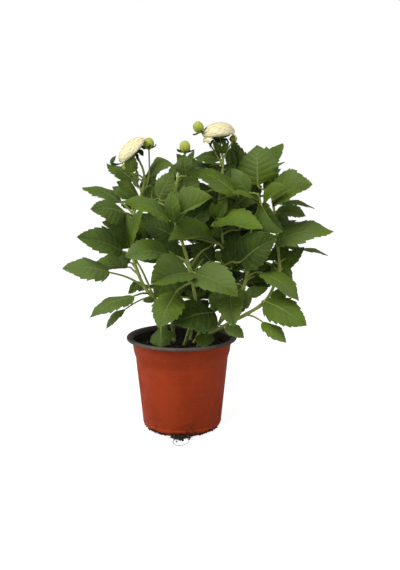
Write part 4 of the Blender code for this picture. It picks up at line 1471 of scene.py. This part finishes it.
@dataclass(frozen=True)
class Thicket:
    """The plant's inner leaves: opposite pairs up each stem, a quarter turn from one pair to the next.

    The crown is drawn as it looks from EYE, as (x, height) on the plane through the pot's middle, and a gap in it is
    a round one, as (x, height, radius).
    """

    first_height: float = 122.0
    node_gap: float = 7.5
    below_top: float = 22.0
    stalk: tuple[float, float] = (8.0, 30.0)
    length: tuple[float, float] = (34.0, 52.0)
    slim: float = 0.68
    rise: tuple[float, float] = (-0.25, 0.45)
    depth: tuple[float, float] = (14.0, 124.0)
    fold: tuple[float, float] = (-4.0, 18.0)
    arch: tuple[float, float] = (0.06, 0.16)
    tone: tuple[float, float] = (-1.0, -0.1)
    pair_turn: float = math.pi / 2
    seed: int = 3
    seed_step: int = 97
    crown: tuple[tuple[float, float], ...] = (
        (-35, 128), (-35, 155), (-45, 166), (-37, 178), (-28, 197), (-54, 197), (-74, 202), (-90, 211), (-94, 229),
        (-80, 244), (-89, 255), (-89, 266), (-68, 262), (-61, 274), (-50, 280), (-47, 294), (-40, 301), (-33, 294),
        (-15, 292), (-6, 296), (-1, 314), (28, 323), (58, 325), (101, 325), (110, 314), (108, 296), (124, 301),
        (134, 292), (136, 280), (116, 267), (137, 263), (137, 244), (126, 228), (133, 216), (136, 204), (124, 190),
        (127, 176), (132, 159), (94, 164), (80, 152), (71, 131), (64, 116), (22, 109), (-20, 111),
    )
    gaps: tuple[Point, ...] = (
        (-19, 301, 8), (-38, 189, 7), (-3, 216, 5), (102, 263, 7), (44, 126, 4), (92, 155, 8), (-64, 168, 7),
    )

    @staticmethod
    def spot(point: Array) -> tuple[float, float]:
        """Where a point looks to be on the plane through the pot's middle."""
        share = -EYE[1] / (point[1] - EYE[1])
        return EYE[0] + (point[0] - EYE[0]) * share, EYE[2] + (point[2] - EYE[2]) * share

    def inside(self, point: Array) -> bool:
        """Whether a point looks to be within the crown and in none of its gaps."""
        x, z = self.spot(point)
        crossings = 0
        for (x0, z0), (x1, z1) in zip(self.crown, self.crown[1:] + self.crown[:1]):
            if (z0 > z) != (z1 > z) and x < x0 + (z - z0) / (z1 - z0) * (x1 - x0):
                crossings += 1
        clear = all(math.hypot(x - gap[0], z - gap[1]) > gap[2] for gap in self.gaps)
        return crossings % 2 == 1 and clear and self.depth[0] < point[1] < self.depth[1]

    def leaves(self, order: int, line: Array) -> tuple[Leaf, ...]:
        """The inner leaves of one stem.

        Args:
            order: The stem's number.
            line: Its middle line.

        Returns:
            The leaves that lie within the crown.
        """
        rng = random.Random(self.seed + self.seed_step * order)
        found = []
        height, heading = self.first_height + rng.uniform(0, 8), rng.uniform(0, math.pi)
        while height < line[-1][2] - self.below_top:
            joint = line[int(np.argmin(np.abs(line[:, 2] - height)))]
            for side in range(2):
                turn = heading + side * math.pi + rng.uniform(-0.3, 0.3)
                out = np.array([math.cos(turn), math.sin(turn), rng.uniform(*self.rise)])
                length = rng.uniform(*self.length)
                width = length * self.slim * rng.uniform(0.9, 1.15)
                base = joint + out * rng.uniform(*self.stalk)
                tip = base + out * length - np.array([0.0, 0.0, 0.2 * length])
                across = np.array([-out[1], out[0], 0.0]) * width / 2
                middle = base * 0.6 + tip * 0.4
                faces = (-0.4 * out[0], -0.4 * out[1] - rng.uniform(0.1, 0.7), 0.8)
                if all(self.inside(point) for point in (tip, middle, middle + across, middle - across)):
                    found.append(Leaf(height, tuple(base), tuple(tip), width, faces, fold=rng.uniform(*self.fold),
                                      arch=rng.uniform(*self.arch), tone=rng.uniform(*self.tone)))
            height += self.node_gap * rng.uniform(0.85, 1.15)
            heading += self.pair_turn + rng.uniform(-0.2, 0.2)
        return tuple(found)


@dataclass(frozen=True)
class Foliage:
    """All the leaves on their stems, with a leaf's seed from its stem's number and its own."""

    maker: LeafMaker
    stems: StemMaker
    thicket: Thicket
    stem_seeds: int = 100
    inner_seeds: int = 1000

    def build(self, palette: Palette) -> list[Object]:
        """Every leaf: the CAD's own, the ones between them and, as one piece for each stem, the inner ones."""
        finishes = [palette.leaf_upper, palette.leaf_under, palette.stalk]
        pieces = []
        for order, (name, stem) in enumerate(STEMS.items()):
            line = self.stems.middle_line(stem)
            own = [(f"{name}_leaf_{number}", leaf) for number, leaf in enumerate(LEAVES[name], 1)]
            extra = [(f"{name}_filler_{number}", leaf) for number, leaf in enumerate(EXTRA_LEAVES.get(name, ()), 1)]
            for number, (title, leaf) in enumerate(own + extra):
                draft = MeshDraft()
                seed = self.stem_seeds * order + number
                self.maker.add_leaf(draft, leaf, self.stems.joint(line, leaf.height), seed)
                nodes = [title] if number < len(own) else []
                pieces.append(settle(draft.build(f"{title}_blade", finishes), Slot.LEAF, *nodes))
            inner = MeshDraft()
            for number, leaf in enumerate(self.thicket.leaves(order, line)):
                seed = self.inner_seeds + self.stem_seeds * order + number
                self.maker.add_leaf(inner, leaf, self.stems.joint(line, leaf.height), seed)
            if inner.count:
                pieces.append(settle(inner.build(f"{name}_inner_blades", finishes), Slot.LEAF))
        return pieces


# ---- Flowers and buds ----


@dataclass(frozen=True)
class Seat:
    """Where a head sits: the end of its stalk, then two unit vectors across it and the way it points."""

    head: Head
    foot: Array
    axes: Array

    @classmethod
    def of(cls, head: Head) -> "Seat":
        """The seat of a head."""
        axis = unit(np.array(head.facing, float))
        first = unit(np.cross(axis, [0.0, 1.0, 0.2]))
        return cls(head, np.array(head.foot, float), np.array([first, np.cross(axis, first), axis]))

    def outward(self, turn: float) -> Array:
        """The way out from the axis at an angle round it."""
        return self.axes[0] * math.cos(turn) + self.axes[1] * math.sin(turn)

    def line(self, flat: Array, outward: Array) -> Array:
        """Points from how far out from the axis and how far up it they are."""
        return self.foot + flat[:, :1] * outward + flat[:, 1:] * self.axes[2]


def add_bract(draft: MeshDraft, start: Array, over: Array, end: Array, up: Array, width: float, tone: float) -> None:
    """Add a spoon-shaped bract along the curve that three points pull.

    Args:
        draft: The mesh to add it to, whose first finish it takes.
        start: Its foot.
        over: The point that its curve bends towards.
        end: Its tip.
        up: The way that its upper face looks.
        width: Its greatest width.
        tone: How fresh its green is.
    """
    t = np.linspace(0, 1, 9)[:, None]
    leafy = np.sqrt(np.clip(np.sin(math.pi * t[:, 0] ** 1.25), 0.0016, 1))
    leafy *= 0.35 + 0.65 * np.minimum(1, t[:, 0] * 2.2)
    path = (1 - t) ** 2 * start + 2 * t * (1 - t) * over + t ** 2 * end
    top, under = strip(path, up, width / 2 * leafy, 0.25, 5, 0.4)
    across = np.linspace(-1, 1, 5)[None, :]
    draft.add_sheet(top, under, (0, 0), along=t + 0 * across, across=across, tone=tone)


@dataclass(frozen=True)
class FlowerMaker:
    """A full dahlia head: petals laid like shingles over a cushion, on a green cup with reflexed bracts."""

    petals: int = 88
    petal_width: tuple[float, float] = (7.0, 12.0)
    petal_thickness: float = 0.3
    petal_columns: int = 7
    rows: int = 11
    last_turn: float = 112.0
    petal_turn: float = 58.0
    cushion_foot: float = 7.0
    core_share: float = 0.95
    under_rings: int = 3
    under_count: int = 15
    calyx_height: float = 6.0
    inner_bracts: int = 10
    outer_bracts: int = 8
    bract_length: float = 13.0

    def cushion(self, head: Head, turn: Array) -> Array:
        """The cushion's side as (out, up), by the angle over its edge from the top's middle, in radians."""
        rise, under = np.cos(np.minimum(turn, math.pi / 2)), np.maximum(turn - math.pi / 2, 0.0)
        out = head.radius * np.sin(np.minimum(turn, math.pi / 2)) ** 0.92 * np.cos(under * 0.9)
        return np.stack([out, self.cushion_foot + head.length * rise - 0.2 * head.length * np.sin(under)], axis=-1)

    def add_core(self, draft: MeshDraft, seat: Seat) -> None:
        """Add the closed body under the petals, so that no gap between them is empty."""
        turns = np.linspace(0, 2 * math.pi, 40, endpoint=False)
        side = self.cushion(seat.head, np.linspace(0.04, math.radians(self.last_turn), 16)) - np.array([0.0, 1.0])
        side[:, 0] *= self.core_share
        ring = np.cos(turns)[:, None] * seat.axes[0] + np.sin(turns)[:, None] * seat.axes[1]
        grid = seat.foot + side[:, None, :1] * ring + side[:, None, 1:] * seat.axes[2]
        draft.add_closed(draft.add_points(grid, along=0.7), 0, 1)

    @staticmethod
    def petal_shape(t: Array) -> Array:
        """Half the width of a petal at each stage, 1 at the widest."""
        swell = 0.45 + 0.55 * np.sin(np.minimum(t, 0.6) / 0.6 * math.pi / 2)
        tip = np.sqrt(np.clip(1 - ((t - 0.6) / 0.4) ** 2, 0.0025, 1))
        return swell * np.where(t > 0.6, tip, 1.0)

    def add_petal(self, draft: MeshDraft, line: Array, up: Array, width: float, cup: float, fresh: Array) -> None:
        """Add one petal that follows a line, with how far it has turned from green to cream at each point."""
        half = width / 2 * self.petal_shape(np.linspace(0, 1, self.rows))
        top, under = strip(line, up, half, cup, self.petal_columns, self.petal_thickness)
        across = np.linspace(-1, 1, self.petal_columns)[None, :]
        draft.add_sheet(top, under, (0, 1), along=fresh[:, None] + 0 * across, across=across)

    def add_laid(self, draft: MeshDraft, seat: Seat, index: int, rng: random.Random) -> None:
        """Add one petal of the spiral that covers the cushion from its middle to its edge."""
        t = np.linspace(0, 1, self.rows)
        share = math.sqrt((index + 0.5) / self.petals)
        outward = seat.outward(index * GOLDEN_TURN + rng.uniform(-0.1, 0.1))
        last = math.radians(self.last_turn * share ** 0.9 + rng.uniform(-4, 9) * share)
        turn = np.maximum(last - math.radians(self.petal_turn) * (1 - t), 0.02)
        flat = self.cushion(seat.head, turn)
        normal = np.stack([np.sin(turn), np.cos(turn)], axis=-1)
        lift = (0.2 + rng.uniform(0.0, 0.9) * share) * t ** 3 - 0.4 * share - 1.2 * (1 - t) ** 2
        flat += normal * lift[:, None]
        up = normal[:, :1] * outward + normal[:, 1:] * seat.axes[2]
        width = self.petal_width[0] + (self.petal_width[1] - self.petal_width[0]) * share
        fresh = 0.2 + 0.6 * t + 0.25 * share
        self.add_petal(draft, seat.line(flat, outward), up, width * rng.uniform(0.9, 1.1), -0.08, fresh)

    def bent(self, seat: Seat, outward: Array, ends: tuple[tuple[float, float], ...]) -> Array:
        """A line on one side of the head along the curve that four (out, up) points pull."""
        t = np.linspace(0, 1, self.rows)[:, None]
        first, second, third, last = (np.array(point) for point in ends)
        flat = (1 - t) ** 3 * first + 3 * t * (1 - t) ** 2 * second + 3 * t ** 2 * (1 - t) * third + t ** 3 * last
        return seat.line(flat, outward)

    def add_under(self, draft: MeshDraft, seat: Seat, turn: float, ring: int, rng: random.Random) -> None:
        """Add a petal of the underside, from the cup out to the edge.

        Args:
            draft: The mesh to add it to.
            seat: The head's seat.
            turn: Its angle round the head.
            ring: Its ring, counted inwards from the edge.
            rng: The source of its shape.
        """
        t = np.linspace(0, 1, self.rows)[:, None]
        radius, foot, outward = seat.head.radius, self.cushion_foot, seat.outward(turn)
        tip = ((0.96 - 0.10 * ring) * radius, foot + (-1.0 + 1.4 * ring))
        line = self.bent(seat, outward, ((3.0, 2.5), (0.55 * radius, foot - 2.5), (0.95 * radius, foot + 0.5), tip))
        up = unit(seat.axes[2] + outward * 0.8 * t ** 2)
        self.add_petal(draft, line, up, self.petal_width[0] * rng.uniform(1.0, 1.25), -0.15, t[:, 0] * 0.9)

    def add_loose(self, draft: MeshDraft, seat: Seat, turn: float, rng: random.Random) -> None:
        """Add a broad old petal that has folded back from under the head's edge and hangs there."""
        t = np.linspace(0, 1, self.rows)[:, None]
        radius, foot, outward = seat.head.radius, self.cushion_foot, seat.outward(turn)
        line = self.bent(seat, outward, ((0.45 * radius, foot - 1.5), (0.85 * radius, foot + 0.5),
                                         (1.16 * radius, foot - 2.0), (1.02 * radius, foot - 8.5)))
        up = unit(seat.axes[2] * (1 - t) + outward * (0.3 + t))
        self.add_petal(draft, line, up, self.petal_width[1] * rng.uniform(0.75, 0.95), -0.2, 0.35 + 0.6 * t[:, 0])

    def build(self, name: str, head: Head, loose: tuple[float, ...], seed: int, palette: Palette) -> list[Object]:
        """The petals as one piece and the cup with its bracts as another.

        Args:
            name: The flower's node.
            head: Its layout.
            loose: The angles round the head, in degrees, of petals that hang from its edge.
            seed: The seed of its own irregularities.
            palette: The finishes.

        Returns:
            The two pieces.
        """
        rng = random.Random(seed)
        seat = Seat.of(head)
        draft = MeshDraft()
        self.add_core(draft, seat)
        for index in range(self.petals):
            self.add_laid(draft, seat, index, rng)
        for ring in range(self.under_rings):
            for index in range(self.under_count):
                turn = 2 * math.pi * (index + ring / 3) / self.under_count + rng.uniform(-0.08, 0.08)
                self.add_under(draft, seat, turn, ring, rng)
        for degrees in loose:
            self.add_loose(draft, seat, math.radians(degrees), rng)
        petals = settle(draft.build(f"{name}_petals", [palette.petal, palette.petal_under]), Slot.PETAL, name)
        return [petals, self.cup(name, seat, rng, palette)]

    def cup(self, name: str, seat: Seat, rng: random.Random, palette: Palette) -> Object:
        """The green cup, its upright inner bracts and its reflexed outer ones."""
        draft = MeshDraft()
        foot, axis, radius = seat.foot, seat.axes[2], seat.head.radius
        line = foot + axis * np.linspace(-1.0, self.calyx_height, 8)[:, None]
        radii = np.interp(np.linspace(0, 1, 8), [0, 0.2, 0.6, 1], [0.9, 2.4, 4.2, 4.6])
        draft.add_tube(line, radii, 16, 2)
        for index in range(self.inner_bracts):
            outward = seat.outward(2 * math.pi * index / self.inner_bracts + rng.uniform(-0.15, 0.15))
            start = foot + axis * 2.0 + outward * 1.6
            over = start + outward * 0.45 * radius + axis * 0.5
            end = start + outward * 0.62 * radius * rng.uniform(0.85, 1.05) + axis * 2.6
            add_bract(draft, start, over, end, axis, 6.0, rng.uniform(-0.2, 0.8))
        for index in range(self.outer_bracts):
            outward = seat.outward(2 * math.pi * (index + 0.5) / self.outer_bracts + rng.uniform(-0.2, 0.2))
            start = foot + axis * 0.8 + outward * 1.4
            over = start + outward * self.bract_length * 0.62 + axis * rng.uniform(0.5, 3.0)
            drop = np.array([0.0, 0.0, rng.uniform(4.0, 9.0)])
            end = start + outward * self.bract_length * rng.uniform(0.5, 0.85) - drop
            add_bract(draft, start, over, end, axis, rng.uniform(4.5, 6.5), rng.uniform(-1.0, 0.3))
        if name in CURLED_BRACTS:
            start, over, end = (np.array(point, float) for point in CURLED_BRACTS[name])
            add_bract(draft, start, over, end, unit(start + end - 2 * over) - seat.axes[1] * 0.8, 6.5, 0.4)
        finishes = [palette.bract, palette.bract, palette.stalk]
        return settle(draft.build(f"{name}_cup", finishes), Slot.CALYX, f"{name}_calyx")


@dataclass(frozen=True)
class BudMaker:
    """A closed bud wrapped in overlapping scales, over a few narrow bracts that curl away."""

    scales: int = 11
    scale_rows: int = 11
    scale_columns: int = 7
    scale_thickness: float = 0.35
    bracts: int = 5
    bract_reach: float = 1.75
    bract_width: float = 0.85

    @staticmethod
    def egg(head: Head, tilt: Array, turn: Array, lift: Array | float) -> Array:
        """A point on the bud's egg in its own axes, from the angle off its tip and the angle round it."""
        reach = head.radius * (1 - 0.07 * np.cos(tilt)) + lift
        return np.stack([
            reach * np.sin(tilt) * np.cos(turn),
            reach * np.sin(tilt) * np.sin(turn),
            (head.length / 2 + lift) * np.cos(tilt) + head.length / 2,
        ], axis=-1)

    def build(self, name: str, head: Head, seed: int, palette: Palette) -> list[Object]:
        """The bud as one piece and its bracts as another."""
        rng = random.Random(seed)
        seat = Seat.of(head)
        draft = MeshDraft()
        tilts, turns = np.meshgrid(np.linspace(0.02, math.pi - 0.12, 22),
                                   np.linspace(0, 2 * math.pi, 28, endpoint=False), indexing="ij")
        core = seat.foot + self.egg(head, tilts, turns, -self.scale_thickness) @ seat.axes
        draft.add_closed(draft.add_points(core, along=1 - tilts / math.pi, across=np.sin(3 * turns)), 0)
        for index in range(self.scales):
            self.add_scale(draft, seat, index, rng)
        bud = settle(draft.build(f"{name}_globe", [palette.bud_skin]), Slot.BUD, name)
        return [bud, settle(self.add_bracts(name, seat, rng, palette), Slot.CALYX)]

    def add_scale(self, draft: MeshDraft, seat: Seat, index: int, rng: random.Random) -> None:
        """Add one broad scale that hugs the bud from its foot towards its tip."""
        ring = index % 3
        turn = index * GOLDEN_TURN * 1.02
        t = np.linspace(0, 1, self.scale_rows)[:, None]
        c = np.linspace(-1, 1, self.scale_columns)[None, :]
        tilt = (math.pi - 0.25) + t * ((0.16 + 0.26 * ring) - (math.pi - 0.25)) + 0 * c
        shape = np.sqrt(np.clip(np.sin(math.pi * np.clip(0.18 + 0.82 * t, 0, 1)), 0.001, 1))
        turns = turn + (0.62 - 0.05 * ring) * shape / np.maximum(np.sin(tilt), 0.45) * c
        lift = 0.10 + 0.22 * ring + 0.28 * (1 - c ** 2) * (1 - 0.5 * t)
        top = seat.foot + self.egg(seat.head, tilt, turns, lift) @ seat.axes
        under = seat.foot + self.egg(seat.head, tilt, turns, lift - self.scale_thickness) @ seat.axes
        draft.add_sheet(top, under, (0, 0), along=0.25 + 0.7 * t + 0 * c, across=c + 0 * t,
                        tone=rng.uniform(-0.5, 0.5))

    def add_bracts(self, name: str, seat: Seat, rng: random.Random, palette: Palette) -> Object:
        """The narrow dark bracts at the bud's foot."""
        draft = MeshDraft()
        foot, axis = seat.foot, seat.axes[2]
        reach = seat.head.radius * self.bract_reach
        for index in range(self.bracts):
            outward = seat.outward(2 * math.pi * (index + rng.uniform(-0.15, 0.15)) / self.bracts + 0.4)
            start = foot + axis * 0.6 + outward * 0.7
            over = start + outward * reach * 0.7 + axis * rng.uniform(-1.0, 1.0)
            end = start + outward * reach * rng.uniform(0.8, 1.1) + axis * rng.uniform(-1.5, 6.0)
            up = unit(axis + np.cross(axis, outward) * rng.uniform(-0.9, 0.9))
            add_bract(draft, start, over, end, up, seat.head.radius * self.bract_width, rng.uniform(-1.0, 0.2))
        tube = foot + axis * np.linspace(-1.5, 1.6, 6)[:, None]
        draft.add_tube(tube, np.interp(np.linspace(0, 1, 6), [0, 1], [0.95, 2.2]), 12, 1)
        return draft.build(f"{name}_bracts", [palette.bract, palette.stalk])


# ---- Studio ----


@dataclass(frozen=True)
class Studio:
    """The camera, the pale floor and the soft light."""

    pitch_degrees: float = 9.0
    lens: float = 43.0
    lamps: tuple[tuple[str, Point, float, float], ...] = (
        ("key", (-900, -1000, 1900), 1500, 34.5),
        ("side", (-1700, -300, 500), 1200, 9.0),
        ("fill", (1300, -900, 1100), 1400, 6.5),
    )
    lamp_aim: Point = (0, 0, 200)
    floor_radius: float = 12000.0
    floor_drop: float = 0.2
    floor_shade: float = 0.5
    floor_glow: float = 0.81
    world_light: float = 0.36

    def build(self) -> None:
        """Set all of it up."""
        self.camera()
        self.floor()
        self.sky()
        for lamp in self.lamps:
            self.lamp(*lamp)

    def camera(self) -> None:
        """The camera, level with the leaves and looking a little down."""
        data = bpy.data.cameras.new("camera")
        data.lens = self.lens
        data.sensor_width = 36.0
        data.clip_end = 100.0
        camera = add_object("camera", data)
        camera.location = Vector(EYE) * MM
        camera.rotation_euler = (math.radians(90 - self.pitch_degrees), 0.0, 0.0)
        bpy.context.scene.camera = camera
        bpy.context.scene.view_settings.view_transform = "Standard"

    def floor(self) -> None:
        """A plain white floor."""
        mesh = bpy.data.meshes.new("floor")
        bm = bmesh.new()
        bmesh.ops.create_circle(bm, cap_ends=True, radius=self.floor_radius * MM, segments=96)
        bm.to_mesh(mesh)
        bm.free()
        finish = Finish("floor_white", 0.9, 0.0, 0.1)
        finish.set("Base Color", (self.floor_shade,) * 3)
        finish.set("Emission Color", (1.0, 1.0, 1.0))
        seen = finish.tree.node("ShaderNodeLightPath").outputs["Is Camera Ray"]
        finish.set("Emission Strength", finish.tree.times(seen, self.floor_glow))
        mesh.materials.append(finish.material)
        floor = add_object("floor", mesh)
        floor.location.z = -self.floor_drop * MM

    def sky(self) -> None:
        """White all round, seen at full strength and a little softer as light."""
        world = bpy.data.worlds.new("studio")
        world.use_nodes = True
        bpy.context.scene.world = world
        tree = ShaderTree(world.node_tree)
        background = world.node_tree.nodes["Background"]
        background.inputs["Color"].default_value = (1.0, 1.0, 1.0, 1.0)
        seen = tree.node("ShaderNodeLightPath").outputs["Is Camera Ray"]
        tree.feed(background.inputs["Strength"], tree.ramp(seen, 0.0, 1.0, (self.world_light, 1.0)))

    def lamp(self, name: str, place: Point, size: float, power: float) -> None:
        """A soft square lamp that looks at the plant.

        Args:
            name: The lamp's name.
            place: Where it hangs.
            size: Its side.
            power: Its power in watts.
        """
        data = bpy.data.lights.new(name, "AREA")
        data.size = size * MM
        data.energy = power
        lamp = add_object(name, data)
        lamp.location = Vector(place) * MM
        lamp.rotation_euler = (Vector(self.lamp_aim) * MM - lamp.location).to_track_quat("-Z", "Y").to_euler()


def corners(box: object) -> list[list[float]]:
    """A box from the frame as plain lists of numbers."""
    return [[float(value) for value in corner] for corner in box]


def main() -> None:
    """Build every piece in order."""
    logging.basicConfig(level=logging.INFO, format="%(name)s: %(message)s")
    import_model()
    palette = Palette.make()
    stems = StemMaker()
    Pot().build(palette)
    Soil().build(palette)
    DrainRoots().build(palette)
    for name, stem in STEMS.items():
        nodes = sorted({leaf.height for leaf in LEAVES[name] + EXTRA_LEAVES.get(name, ())})
        stems.build(name, stem, nodes, palette)
    Foliage(LeafMaker(), stems, Thicket()).build(palette)
    for seed, (name, head) in enumerate(FLOWERS.items()):
        FlowerMaker().build(name, head, LOOSE_PETALS[name], seed, palette)
    for seed, (name, head) in enumerate(BUDS.items()):
        BudMaker().build(name, head, seed, palette)
    Studio().build()


if __name__ == "__main__":
    main()
